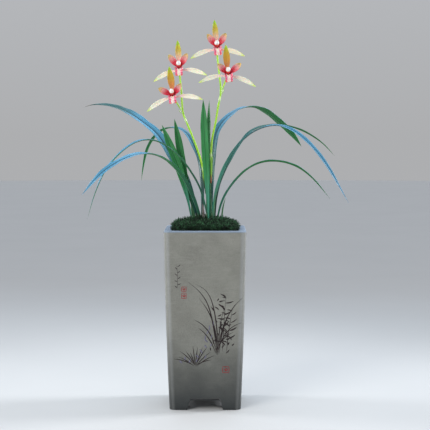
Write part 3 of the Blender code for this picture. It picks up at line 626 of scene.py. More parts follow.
# Paths run from the crown to the tip in mm, as in the CAD model, with heights above the rim.
LEAVES = {
    "leaf_upper_left": dict(
        path=[
            (-10, 11, 4.5), (-12, 12, 20), (-29, 19, 71), (-47, 30, 99), (-71, 46, 137), (-95, 64, 157),
            (-118, 86, 172), (-143, 107, 182), (-165, 123, 186), (-181, 133, 186), (-194.8, 140, 182),
        ],
        width=14.5, foot=0.3, broad=(0.45, 0.66), roll=(60, 22, 14), fold=0.34, tone=0.75, scorch=1.0,
    ),
    "leaf_low_left_thin": dict(
        path=[
            (2, -2, 4.5), (2, -2, 20), (-8, -6, 59), (-24, -14, 88), (-42, -24, 111), (-68, -39, 129),
            (-94, -54, 130), (-118, -65, 115), (-140, -73, 90), (-155, -81, 57), (-166, -88, 19),
        ],
        width=8.0, foot=0.4, broad=(0.4, 0.6), roll=(30, 8, -25), fold=0.3, tone=0.6,
    ),
    "leaf_low_left_wide": dict(
        path=[
            (-7, -8, 4.5), (-8, -8, 15), (-18, -15, 45), (-32, -27, 75), (-50, -42, 97), (-71, -66, 110),
            (-95, -88, 111), (-120, -107, 101), (-144, -123, 84), (-168, -136, 56),
        ],
        width=10.8, foot=0.35, broad=(0.5, 0.72), roll=(-30, 6, 30), fold=0.25, tone=0.75,
    ),
    "leaf_back_left_arch": dict(
        path=[
            (-5, 14.5, 4.5), (-5, 15, 20), (-5, 23, 56), (-8, 34, 96), (-17, 50, 120), (-32, 77, 143),
            (-55, 102, 150), (-77, 126, 140), (-93, 141, 118), (-100, 147, 92), (-104, 150, 65),
        ],
        width=8.5, foot=0.4, broad=(0.45, 0.6), roll=(20, 8, -8), fold=0.3, tone=0.5,
    ),
    "leaf_left_short": dict(
        path=[
            (-15, 5, 4.5), (-16, 5, 18), (-24, 6, 50), (-31, 7, 78), (-35.5, 8, 104), (-40, 9, 130),
            (-46, 10, 162)
        ],
        width=11.0, foot=0.2, broad=(0.62, 0.72), rise=2.6, roll=(60, 78, 75), fold=0.4, tone=0.4,
        sides=(GREEN, GREEN),
    ),
    "leaf_left_upright": dict(
        path=[
            (-21, -4, 4.5), (-21.5, -4, 18), (-25.5, -4, 40), (-31, -4, 62), (-39, -3, 90), (-51, -1, 120),
            (-64, 2, 153),
        ],
        width=12.2, foot=0.2, broad=(0.62, 0.7), rise=3.1, roll=(50, 75, 80), fold=0.35, tone=0.6, mint=0.9,
        sides=(GREEN, GREEN),
    ),
    "leaf_centre_tall": dict(
        path=[(4.5, -11, 4.5), (4.5, -11, 22), (4, -12, 48), (1.5, -12, 90), (-0.5, -12, 130), (-3, -9, 190)],
        width=11.0, foot=0.22, broad=(0.64, 0.75), rise=2.2, roll=(80, 85, 85), fold=0.28, tone=0.75,
        mint=0.95,
        sides=(GREEN, GREEN),
    ),
    "leaf_centre_second": dict(
        path=[(8, -5, 4.5), (7.6, -5, 21), (6, -5, 60), (5, -4, 105), (6, -3, 149), (6, -1, 189)],
        width=9.4, foot=0.3, broad=(0.55, 0.75), rise=1.8, roll=(60, 72, 80), fold=0.4, tone=0.45,
        sides=(GREEN, GREEN),
    ),
    "leaf_upper_right": dict(
        path=[
            (8.5, 10, 4.5), (8.5, 11, 30), (10, 18, 78), (12, 30, 116), (18, 46, 146), (39, 71, 170),
            (64, 95, 182), (91, 113, 177), (118, 130, 157), (138, 142, 139), (153, 150, 120),
        ],
        width=12.8, foot=0.35, broad=(0.45, 0.84), roll=(30, 8, -34), fold=0.2, tone=0.55,
    ),
    "leaf_right_long_low": dict(
        path=[
            (12, -5.5, 4.5), (12, -6.5, 17), (14, -11, 42), (21, -20, 70), (32, -31, 98), (50, -52, 126),
            (71, -70, 144), (98, -89, 152), (122, -104, 145), (146, -118, 125), (168, -132, 96),
            (196, -147, 46),
        ],
        width=7.6, foot=0.4, broad=(0.4, 0.7), roll=(-25, 14, 16), fold=0.3, tone=0.6, mint=0.7,
        sides=(PAINTED_SHEEN_BLUE, TEAL),
    ),
    "leaf_right_long_high": dict(
        path=[
            (15, 7, 4.5), (15, 8, 22), (19, 13, 56), (30, 20, 86), (47, 34, 117), (68, 50, 143),
            (93, 62, 153), (121, 73, 153), (151, 82, 144), (180.5, 88, 126), (200, 91, 106),
        ],
        width=7.8, foot=0.4, broad=(0.4, 0.6), roll=(30, 8, -24), fold=0.3, tone=0.45, sides=(TEAL, GREEN),
    ),
    "leaf_right_low": dict(
        path=[
            (19.5, 1, 4.5), (19.5, 1, 18), (27, 0, 43), (40, -4, 65), (61, -8, 87), (84, -8, 98),
            (110, -6, 99), (136, -2, 91), (160, 3, 73), (186, 9, 43),
        ],
        width=6.8, foot=0.45, broad=(0.4, 0.6), roll=(-30, -22, -22), fold=0.35, tone=0.5, mint=0.45,
    ),
    "sheath_leaf_left": dict(
        path=[(-15.5, -10, 4.5), (-17, -10, 14), (-19, -10.5, 25), (-21, -11.5, 36)],
        width=5.0, foot=0.6, broad=(0.3, 0.5), roll=(70, 70, 70), fold=0.35, tone=0.3,
        sides=(SHEATH_LEAF, SHEATH_LEAF),
    ),
    "sheath_leaf_right": dict(
        path=[(12, -14, 4.5), (12.5, -15, 16), (14.5, -20, 42), (18, -26, 67)],
        width=5.0, foot=0.7, broad=(0.3, 0.5), roll=(60, 60, 60), fold=0.4, tone=0.4,
        sides=(SHEATH_LEAF, SHEATH_LEAF),
    ),
    "sheath_leaf_far_right": dict(
        path=[(25, -6, 4.5), (25, -6.4, 14), (26.5, -8, 30), (30, -10, 46)],
        width=5.0, foot=0.7, broad=(0.3, 0.5), roll=(60, 60, 60), fold=0.4, tone=0.4,
        sides=(SHEATH_LEAF, SHEATH_LEAF),
    ),
}

# This small clasping leaf has no CAD node, so it is an extra piece.
LEAVES["sheath_leaf_centre"] = dict(
    path=[(-2.4, -14.5, 6.0), (-2.6, -15.4, 16), (-3.2, -15.6, 26), (-4.6, -15.4, 38)],
    width=4.2, foot=0.8, broad=(0.3, 0.5), roll=(70, 70, 70), fold=0.4, tone=0.6, sides=(CLASPING, CLASPING),
)


def leaf_width(t, foot, broad, rise):
    start, end = broad
    swell = foot + (1 - foot) * np.sin(math.pi / 2 * np.minimum(t / start, 1.0)) ** rise
    taper = 1.0 - np.clip((t - end) / (1 - end), 0, 1) ** 1.9
    return swell * taper


def leaf_frames(path, roll):
    """The sideways and upper-side directions along a leaf, after the roll."""
    run = path[-1] - path[0]
    heading = unit(np.array([run[0], run[1], 0.0]))
    side = np.array([-heading[1], heading[0], 0.0])
    if side[1] > 0:
        side = -side
    t = tangents(path)
    level = unit(side - t * (t @ side)[:, None])
    upper = np.cross(t, level)
    away = UP * (t @ heading)[:, None] - heading * t[:, 2:3]
    upper *= np.sign(np.sum(upper * away, axis=1, keepdims=True))
    share = np.linspace(0, 1, len(path))
    turn = np.radians(np.interp(share, (0, 0.5, 1), roll))
    soften(turn, len(path) // 3)
    c, s = np.cos(turn)[:, None], np.sin(turn)[:, None]
    return level * c - upper * s, upper * c + level * s


def build_leaf(name, spec, chance):
    rows, columns = (120, 17) if len(spec["path"]) > 4 else (40, 13)
    path = smooth_path(spec["path"], rows, 6)
    path[:, 2] += RIM
    t = np.linspace(0, 1, rows)
    half = np.maximum(
        spec["width"] / 2 * leaf_width(t, spec["foot"], spec["broad"], spec.get("rise", 1.3)), 0.16
    )
    side, upper = leaf_frames(path, spec["roll"])
    u = np.linspace(-1, 1, columns)
    dish = np.interp(t, (0, 0.35, 1), (1.1, spec["fold"], spec["fold"]))
    phase = chance.uniform(0, 6.28)
    ripple = 0.018 * np.sin(2 * math.pi * 5.3 * t + phase) + 0.012 * np.sin(
        2 * math.pi * 11.7 * t + 2 * phase
    )
    rise = dish[:, None] * half[:, None] * (np.sqrt(u**2 + 0.02) - 0.14)[None, :]
    rise += (ripple * half)[:, None] * (u**3)[None, :] * 3
    rise -= np.exp(-((u / 0.09) ** 2))[None, :] * np.minimum(half, 4)[:, None] * 0.07
    middle = across_path(path, side, u[None, :] * half[:, None], upper, rise)
    body = 0.3 * (1 - 0.7 * u**4)[None, :] * np.minimum(1, half / 2.5)[:, None]
    keel = 0.35 * np.exp(-((u / 0.12) ** 2))[None, :] * np.minimum(1, half / 4)[:, None]
    top = middle + upper[:, None] * body[..., None]
    under = middle - upper[:, None] * (body + keel)[..., None]
    sides = spec.get("sides", (PAINTED_SHEEN_BLUE, GREEN))
    made = sheet_object(
        name + "_look", top, under, sides, spec["tone"], spec.get("scorch", 0.0), spec.get("mint", 0.15)
    )
    stand_for(made, "sheath" if "sheath" in name else "leaf", *([name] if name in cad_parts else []))


# ---------------------------------------------------------------- stems

STEMS = {
    "scape_left": [
        (2.5, 4, 4.5), (2.5, 4, 30), (2, 4, 52), (-3.5, 3, 87), (-9, 2, 109), (-19, 0, 136), (-28, -2.5, 158),
        (-33, -4, 172), (-35, -3, 201), (-37, 1, 220), (-38, -1, 229.6), (-38, -6.6, 234.4),
    ],
    "scape_right": [
        (8.5, 3, 4.5), (7.8, 3, 30), (7, 2, 60), (8, 1, 98), (10, 0, 131), (15, -2, 155), (19, -4, 180),
        (23, -5, 201), (21, -3, 225), (18.2, 1, 250), (17.5, -1, 259), (17.4, -6.6, 264),
    ],
}
NODES = {"scape_left": (0.35, 0.67), "scape_right": (0.39, 0.71)}
SHEATHS = {"stem_sheath_left": ("scape_left", 0.2, 0.34), "stem_sheath_right": ("scape_right", 0.24, 0.38)}
PEDICELS = {
    "pedicel_lower_left": [(-34.8, -5.7, 174), (-41, -12, 184), (-45.6, -16, 191), (-46.8, -18.8, 194.3)],
    "pedicel_lower_right": [(24.6, -7.2, 203.2), (28.6, -14, 214), (32, -18, 222), (33, -20.8, 225.3)],
}
BRACTS = {
    "bract_left": [(-34.4, -7.2, 169.0), (-36.6, -9.2, 171.8), (-39.4, -11.6, 175.2)],
    "bract_right": [(24.6, -8.2, 198.0), (26.4, -10.6, 202.2), (28.6, -13.4, 206.8)],
}


def lifted(path):
    path[:, 2] += RIM
    return path


def build_stems():
    for name, points in STEMS.items():
        rows = 150
        t = np.linspace(0, 1, rows)
        radii = np.interp(t, (0, 1), (1.6, 1.32))
        pale = np.zeros(rows)
        for at in NODES[name]:
            radii += 0.28 * np.exp(-(((t - at) / 0.009) ** 2))
            pale += 0.7 * np.exp(-(((t - at) / 0.014) ** 2))
        radii[-6:] *= np.linspace(1, 1.15, 6)
        # The painted shade is full up to just above the foot of the stem's sheath, and fades out by 0.36 of
        # the way up.
        shade = np.interp(t, (0, SHEATHS[name.replace("scape", "stem_sheath")][1] + 0.03, 0.36), (1, 1, 0))
        path = lifted(smooth_path(points, rows, 3))
        stand_for(tube_object(name + "_look", path, radii, [STEM], pale=pale, shade=shade), "stem", name)
    for name, points in PEDICELS.items():
        t = np.linspace(0, 1, 40)
        radii = np.interp(t, (0, 0.5, 0.9, 1), (1.0, 1.15, 1.75, 1.5))
        pale = np.interp(t, (0, 0.12, 0.3, 1), (0.8, 0.3, 0, 0.1))
        stand_for(
            tube_object(name + "_look", lifted(smooth_path(points, 40)), radii, [STEM], 18, pale=pale),
            "stem", name
        )


def build_sheaths():
    """A papery tube round each stem, slit to a point on one side."""
    sides = 24
    for name, (stem, start, end) in SHEATHS.items():
        path = lifted(smooth_path(STEMS[stem], 150, 3))[int(start * 149) : int(end * 149) + 1]
        rows = len(path)
        t, a, ring = ring_directions(path, FRONT, sides)
        along = np.linspace(0, 1, rows)
        flare = 2.15 + 0.5 * np.sin(math.pi * along) + 0.25 * along**4
        ribs = 1 + 0.03 * np.cos(9 * a)
        outer = path[:, None] + ring * (flare[:, None] * ribs[None, :])[..., None]
        lean = (np.clip((along - 0.6) / 0.4, 0, 1)[:, None] * (np.cos(a) * 4.0 - 1.5)[None, :])[..., None]
        outer = outer + t[:, None] * lean
        inner = path[:, None] + t[:, None] * lean + ring * (flare[:, None, None] - 0.35)
        count = rows * sides
        faces = [*grid_faces(rows, sides, wrap=True), *grid_faces(rows, sides, count, wrap=True)[:, ::-1]]
        for row in (0, rows - 1):
            low = row * sides
            faces += [
                (low + j, low + (j + 1) % sides, count + low + (j + 1) % sides, count + low + j)
                for j in range(sides)
            ]
        strip = np.stack([np.tile(a / (2 * math.pi), rows), np.repeat(along, sides)], axis=1)
        points = np.concatenate([outer.reshape(-1, 3), inner.reshape(-1, 3)])
        # The left sheath gets the painted shade, the right one none.
        values = {"shade": np.full(2 * count, 0.95 if "left" in name else 0.0)}
        made = finish_mesh(
            name + "_look", points, faces, [PAPERY], [0] * len(faces), np.tile(strip, (2, 1)), values
        )
        stand_for(made, "sheath", name)


def thin_blade(name, path, side, face, half, dish, thick, columns, looks, tone, wave=None):
    """A thin dished blade as two grids. wave, if given, lifts its points further: rows by columns, in mm."""
    u = np.linspace(-1, 1, columns)
    rise = (dish * half)[:, None] * (np.abs(u) ** 2.0)[None, :]
    if wave is not None:
        rise = rise + wave
    middle = across_path(path, side, u[None, :] * half[:, None], face, rise)
    body = thick / 2 * (1 - 0.75 * u**4)[None, :] * np.minimum(1, half / 1.6)[:, None]
    top = middle + face[:, None] * body[..., None]
    under = middle - face[:, None] * body[..., None]
    return sheet_object(name, top, under, looks, tone)


def build_bracts():
    for name, points in BRACTS.items():
        path = lifted(smooth_path(points, 24))
        t = np.linspace(0, 1, 24)
        half = np.maximum(0.8 * np.sin(math.pi * (0.25 + 0.75 * t)), 0.12)
        side = unit(np.cross(tangents(path), FRONT))
        face = np.cross(side, tangents(path))
        made = thin_blade(
            name + "_look", path, side, face, half, np.full(24, -0.4), 0.5, 9, [BRACT, BRACT], 0.5
        )
        stand_for(made, "stem", name)


# ---------------------------------------------------------------- flowers

FLOWERS = {
    "flower_lower_left": dict(
        at=(-46.8, -20, 195), roll=-6.5, yaw=-6, nod=3, reach=1.05, upper=10.0, petals=((53, 14), (44, 16)),
        droop=(4.5, -6.5)
    ),
    "flower_upper_left": dict(
        at=(-38, -8, 235.4), roll=-3, yaw=-3, nod=0, reach=1.0, upper=8.8, petals=((35, 0), (33, 0)),
        droop=(4.5, -3)
    ),
    "flower_upper_right": dict(
        at=(17.4, -8, 265), roll=-6, yaw=3, nod=0, reach=1.0, upper=8.6, petals=((31, 0), (37, 0)),
        droop=(-4, 2.5)
    ),
    "flower_lower_right": dict(
        at=(33, -22, 226), roll=-5, yaw=6, nod=3, reach=1.05, upper=10.0, petals=((42, 16), (53, 4)),
        droop=(-9, 8.5)
    ),
}


def turned(points, degrees):
    """Points turned about the flower's front axis, clockwise as seen from the front."""
    a = math.radians(degrees)
    return [(x * math.cos(a) + z * math.sin(a), y, z * math.cos(a) - x * math.sin(a)) for x, y, z in points]


def mirrored(points):
    return [(-x, y, z) for x, y, z in points]


def petal_path(spread, cup):
    a = math.radians(cup)
    points = []
    for reach, forward in ((2.0, 2.2), (10.0, 4.4), (18.2, 6.4), (24.7, 7.2)):
        along, ahead = reach - 4.2, forward - 2.6
        away = 4.2 + along * math.cos(a) - ahead * math.sin(a)
        points.append((0.0, -(2.6 + along * math.sin(a) + ahead * math.cos(a)), away))
    return turned(points, spread)


def petal_width(t, foot, late, blunt):
    body = np.maximum(np.sin(math.pi * np.clip(t, 0, 1) ** late), 0) ** blunt
    return np.maximum(body, foot * (1 - t) ** 2)


class Flower:
    """One flower: its parts are drawn about the point where they meet, then set in place."""

    def __init__(self, name, spec, seed):
        self.name = name
        self.at = np.array(spec["at"], float) + (0, 0, RIM)
        turns = [math.radians(a) for a in (spec["nod"], spec["roll"], spec["yaw"])]
        self.turn = np.array(Euler(turns, "XYZ").to_matrix())
        self.chance = random.Random(seed)
        self.spec = spec

    def place(self, obj, part, slot):
        mesh = obj.data
        points = coordinates(mesh) @ self.turn.T + self.at * MM
        mesh.vertices.foreach_set("co", points.ravel())
        mesh.update()
        stand_for(obj, slot, f"{self.name}_{part}")

    def blade(self, part, points, width, foot, dish, looks, slot, curl=0.0, late=1.05, blunt=0.8):
        rows, columns = 56, 17
        path = smooth_path(points, rows)
        t = np.linspace(0, 1, rows)
        half = np.maximum(width / 2 * petal_width(t, foot, late, blunt), 0.12)
        side = unit(np.cross(FRONT, tangents(path)))
        face = np.cross(tangents(path), side)
        u = np.linspace(-1, 1, columns)
        phase = self.chance.uniform(0, 6.28)
        wave = 0.35 * np.sin(2 * math.pi * 2.1 * t + phase)[:, None] * (u**3)[None, :]
        wave = wave * np.minimum(1, half / 3)[:, None]
        wave += 0.18 * np.sin(2 * math.pi * 4.7 * t + 2 * phase)[:, None] * (np.abs(u) ** 3)[None, :]
        wave -= 0.22 * np.exp(-((u / 0.1) ** 2))[None, :] * np.sin(math.pi * t)[:, None]
        wave += curl * (t**3)[:, None] * (u**2)[None, :]
        name = f"{self.name}_{part}_look"
        tone = self.chance.uniform(0.2, 0.8)
        made = thin_blade(name, path, side, face, half, np.full(rows, dish), 0.7, columns, looks, tone, wave)
        self.place(made, part, slot)

    def lip(self):
        rows, columns = 60, 31
        path = smooth_path(
            [(0, -2.2, -2.0), (0, -5.6, -1.4), (0, -8.6, -2.2), (0, -10.6, -5.4), (0, -10.2, -11.0)], rows
        )
        t = np.linspace(0, 1, rows)
        steps = np.linspace(0, 1, 10)
        half = np.interp(t, steps, (2.4, 4.0, 5.6, 6.2, 6.0, 5.3, 5.2, 5.5, 5.7, 4.9))
        dish = np.interp(t, steps, (-0.5, -0.6, -0.7, -0.72, -0.6, -0.35, -0.1, 0.05, 0.1, 0.1))
        soften(half, 4)
        soften(dish, 4)
        side = np.tile([1.0, 0, 0], (rows, 1))
        face = np.cross(side, tangents(path))
        u = np.linspace(-1, 1, columns)
        swing = np.interp(t, (0, 0.35, 0.6, 1), (0, 0.15, 0.45, 0.55))
        frill = np.sin(2 * math.pi * 5.5 * t + self.chance.uniform(0, 6.28)) * swing
        wave = frill[:, None] * (np.abs(u) ** 4)[None, :] * np.sign(u)[None, :]
        end = np.sin(math.pi * 4 * u)[None, :] * np.interp(t, (0, 0.8, 1), (0, 0, 0.4))[:, None]
        height = np.interp(t, (0, 0.2, 0.5, 0.66, 1), (0, -1.0, -0.8, 0, 0))
        keels = np.exp(-(((np.abs(u) - 0.2) / 0.08) ** 2))[None, :] * height[:, None]
        made = thin_blade(
            f"{self.name}_lip_look", path, side, face, half, dish, 0.7, columns, [LIP, LIP],
            self.chance.uniform(0, 4), wave + end + keels,
        )
        self.place(made, "lip", "lip")

    def column(self):
        spine = np.array(
            [
                (-2.2, 0.6, 1.6), (-4.8, 2.2, 2.6), (-7.0, 4.3, 3.1), (-8.2, 6.0, 3.2), (-9.6, 7.2, 3.4),
                (-11.0, 7.8, 3.1), (-12.1, 8.3, 2.1), (-12.6, 8.5, 0.7),
            ]
        )
        rows = 44
        fine = smooth_path(spine, rows)
        path = np.stack([np.zeros(rows), fine[:, 0], fine[:, 1]], axis=1)
        across = np.array([1.0, 0, 0])
        made = tube_object(
            f"{self.name}_column_look", path, np.maximum(fine[:, 2], 0.3), [COLUMN, CAP], 24,
            kinds_of=lambda along: int(along > 0.56), reference=across,
        )
        self.place(made, "column", "column")

    def build(self):
        reach = self.spec["reach"]
        dorsal = [(0, -0.4, 3.0), (0, 0.6, 14), (0, -0.6, 27 * reach), (0, -3.5, 41 * reach)]
        side_sepal = [
            (3, -0.4, -2.8), (14, 0.6, -3.3), (27 * reach, -1, -7.6 * reach),
            (40 * reach, -4, -14.6 * reach)
        ]
        upper_look = [ROSY_SEPAL if "upper" in self.name else WARM_SEPAL] * 2
        left_droop, right_droop = self.spec["droop"]
        left_petal, right_petal = self.spec["petals"]
        self.blade("dorsal_sepal", dorsal, self.spec["upper"], 0.4, 0.25, upper_look, "sepal", 0.6)
        self.blade(
            "left_sepal", mirrored(turned(side_sepal, left_droop)), 7.0, 0.5, 0.2, [LATERAL] * 2, "sepal"
        )
        self.blade("right_sepal", turned(side_sepal, right_droop), 7.0, 0.5, 0.2, [LATERAL] * 2, "sepal")
        left, right = mirrored(petal_path(*left_petal)), petal_path(*right_petal)
        self.blade("left_petal", left, 9.4, 0.56, 0.3, [PETAL] * 2, "petal", 0.5, late=1.28, blunt=0.62)
        self.blade("right_petal", right, 9.4, 0.56, 0.3, [PETAL] * 2, "petal", 0.5, late=1.28, blunt=0.62)
        self.lip()
        self.column()


# ---------------------------------------------------------------- pot


def outer_half(z):
    t = z / RIM
    return FOOT_HALF + (RIM_HALF - FOOT_HALF) * t + SIDE_BULGE * np.sin(math.pi * t)


def rounded_square(half, corner, z, arc=10, flat=14):
    """A ring of points round a square, with the flats divided as well as the rounded corners."""
    points = []
    reach = half - corner
    for quarter in range(4):
        c, s = ((1, 0), (0, 1), (-1, 0), (0, -1))[quarter]
        for k in range(flat):
            along = -reach + 2 * reach * k / flat
            points.append((c * half - s * along, s * half + c * along, z))
        for k in range(arc):
            a = math.pi / 2 * (quarter + k / arc)
            cx, cy = ((1, 1), (-1, 1), (-1, -1), (1, -1))[quarter]
            points.append((cx * reach + corner * math.cos(a), cy * reach + corner * math.sin(a), z))
    return points


def disc_ring(radius, z, count):
    a = np.linspace(0, 2 * math.pi, count, endpoint=False) - math.radians(40)
    return [(radius * math.cos(b), radius * math.sin(b), z) for b in a]


def apply_modifiers(obj):
    """Takes the evaluated mesh as the object's own."""
    graph = bpy.context.evaluated_depsgraph_get()
    mesh = bpy.data.meshes.new_from_object(obj.evaluated_get(graph), depsgraph=graph)
    obj.modifiers.clear()
    obj.data = mesh


def foot_gap(along_x):
    """A long bar with rounded upper corners that cuts one pair of gaps between the feet."""
    arc = []
    for k in range(5):
        a = math.radians(15 + 75 * k / 4)
        arc.append((GAP_ARC_HALF + GAP_ROUND * math.cos(a), GAP_TOP + GAP_ROUND * math.sin(a)))
    profile = [(-GAP_FOOT_HALF, -2.0), (GAP_FOOT_HALF, -2.0), (GAP_TOP_HALF, GAP_TOP), *arc]
    profile += [(-x, z) for x, z in reversed(arc)]
    profile.append((-GAP_TOP_HALF, GAP_TOP))
    rows = [[(end, c, z) if along_x else (c, end, z) for c, z in profile] for end in (-72.0, 72.0)]
    count = len(profile)
    faces = [*grid_faces(2, count, wrap=True), range(count), range(count, 2 * count)]
    return finish_mesh("cutter", np.array(rows).reshape(-1, 3), faces, [STONEWARE], [0] * len(faces))


def build_pot():
    rings = [
        rounded_square(outer_half(0.0) - 0.5, 9.2, 0.0), rounded_square(outer_half(0.5), CORNER_ROUND, 0.5)
    ]
    rings += [rounded_square(outer_half(z), CORNER_ROUND, z) for z in np.linspace(6, 259, 44)]
    for angle in range(15, 91, 15):
        a = math.radians(angle)
        inset = LIP_ROUND * (1 - math.cos(a))
        z = 259.4 + LIP_ROUND * math.sin(a)
        rings.append(rounded_square(outer_half(z) - inset, CORNER_ROUND - inset, z))
    for inset, drop in ((9.6, 0.0), (10.3, 0.15), (10.9, 0.55), (11.4, 1.4)):
        rings.append(
            rounded_square(RIM_HALF - inset, max(6.4 - (inset - 9.6) * 0.6, INNER_CORNER), RIM - drop)
        )
    for z in (240.0, 200.0, 110.0, FLOOR_TOP):
        half = outer_half(z) - (10.0 + 1.5 * z / RIM)
        rings.append(rounded_square(half, INNER_CORNER, z))
    count = len(rings[0])
    rings.append(disc_ring(DRAIN_RADIUS, FLOOR_TOP, count))
    rings.append(disc_ring(DRAIN_RADIUS, 0.0, count))
    faces = [*grid_faces(len(rings), count, wrap=True)]
    first, last = 0, (len(rings) - 1) * count
    faces += [(last + j, last + (j + 1) % count, first + (j + 1) % count, first + j) for j in range(count)]
    points = np.array(rings).reshape(-1, 3)
    pot = finish_mesh("pot_body", points, faces, [STONEWARE], [0] * len(faces))
    cutters = [foot_gap(True), foot_gap(False)]
    for cutter in cutters:
        modifier = pot.modifiers.new("foot gap", "BOOLEAN")
        modifier.object = cutter
        modifier.solver = "EXACT"
    soften = pot.modifiers.new("soft edges", "BEVEL")
    soften.width = 0.7 * MM
    soften.segments = 3
    soften.limit_method = "ANGLE"
    soften.angle_limit = math.radians(45)
    bpy.context.view_layer.update()
    apply_modifiers(pot)
    for cutter in cutters:
        bpy.data.objects.remove(cutter, do_unlink=True)
    # Slight unevenness of pressed slabs, and how near each point is to an outer edge, which is painted pale
    # as wear and painted highlight.
    mesh = pot.data
    p = coordinates(mesh) / MM
    radius = np.max(np.abs(p[:, :2]), axis=1)
    outside = np.clip((radius - outer_half(np.clip(p[:, 2], 0, RIM)) + 3.0) / 3.0, 0, 1)
    swell = np.sin(p[:, 2] / 31.0 + p[:, 0] / 47.0) * np.sin(p[:, 2] / 17.0 - p[:, 1] / 29.0 + 1.3)
    p[:, :2] -= np.sign(p[:, :2]) * (0.08 * (1 + swell) * outside)[:, None] * (np.abs(p[:, :2]) > 30)
    mesh.vertices.foreach_set("co", (p * MM).ravel())
    reach = np.min(np.abs(p[:, :2]), axis=1) - (outer_half(np.clip(p[:, 2], 0, RIM)) - CORNER_ROUND)
    corner = np.clip(reach / 4.0, 0, 1) * outside
    # The top of the lip shares the pale wear and painted highlight of the edges.
    lip = np.clip((p[:, 2] - (RIM - 2.0)) / 2.0, 0, 1)
    edge = np.clip(corner + lip * 0.4, 0, 1)
    set_values(mesh, "edge", edge)
    mesh.shade_smooth()
    mesh.set_sharp_from_angle(angle=math.radians(50))
    mesh.update()
    stand_for(pot, "stoneware", "pot")


# The drawing on the front: made-up tufts of grass in dark pigment. Points are across and up the front face.


class Drawing:
    def __init__(self):
        self.points, self.faces, self.kinds = [], [], []

    def stroke(self, points, width, kind=0, foot=0.15, tip=0.0, belly=0.45):
        """One brush stroke through points of (across, up): foot and tip are shares of the width."""
        rows = 26
        flat = smooth_path([(x, 0.0, z) for x, z in points], rows)
        t = np.linspace(0, 1, rows)
        profile = np.where(t < belly, foot + (1 - foot) * np.sin(math.pi / 2 * t / belly), 0)
        late = tip + (1 - tip) * np.cos(math.pi / 2 * np.clip((t - belly) / (1 - belly), 0, 1)) ** 0.8
        half = np.maximum(width / 2 * np.where(t < belly, profile, late), 0.05)
        side = unit(np.cross(tangents(flat), FRONT))
        start = len(self.points)
        for share, proud in ((-1.0, -0.3), (-1.0, 0.0), (0.0, 0.16), (1.0, 0.0), (1.0, -0.3)):
            line = flat + side * (half * share)[:, None]
            line[:, 1] = -(outer_half(line[:, 2]) + proud)
            self.points.extend(line)
        for band in range(5):
            other = (band + 1) % 5
            for i in range(rows - 1):
                a, b = start + band * rows + i, start + other * rows + i
                self.faces.append((a, a + 1, b + 1, b))
                self.kinds.append(kind)
        self.faces.append([start + band * rows for band in range(5)])
        self.faces.append([start + band * rows + rows - 1 for band in range(5)])
        self.kinds += [kind, kind]

    def dab(self, x, z, length, angle, width, kind=0):
        a = math.radians(angle)
        dx, dz = math.sin(a) * length, math.cos(a) * length
        self.stroke(
            [(x, z), (x + dx * 0.5 + dz * 0.06, z + dz * 0.5 - dx * 0.06), (x + dx, z + dz)], width, kind
        )

    def blade_of_grass(self, x, z, length, angle, bend, width, kind=0):
        """A blade from its foot, leaning by angle from upright and bent over by bend at its tip."""
        points = [(x, z)]
        for k in range(5):
            a = math.radians(angle + bend * (k / 4) ** 1.3)
            x, z = x + math.sin(a) * length / 5, z + math.cos(a) * length / 5
            points.append((x, z))
        self.stroke(points, width, kind)

    def stamp(self, x, z, width, height, kind):
        """A worn frame round two leaves and a bud."""
        w, h = width / 2, height / 2
        for points in (
            [(x - w, z - h), (x - w * 1.04, z), (x - w * 0.96, z + h)],
            [(x - w, z + h), (x, z + h * 1.05), (x + w, z + h)],
            [(x + w, z + h), (x + w * 1.05, z), (x + w, z - h)],
            [(x + w, z - h), (x, z - h * 1.04), (x - w, z - h)],
        ):
            self.stroke(points, 0.75, kind, 0.6, 0.5)
        self.dab(x, z - h * 0.6, height * 0.55, -38, 1.2, kind)
        self.dab(x, z - h * 0.6, height * 0.6, 34, 1.2, kind)
        self.dab(x, z - h * 0.1, height * 0.42, 2, 1.3, kind)


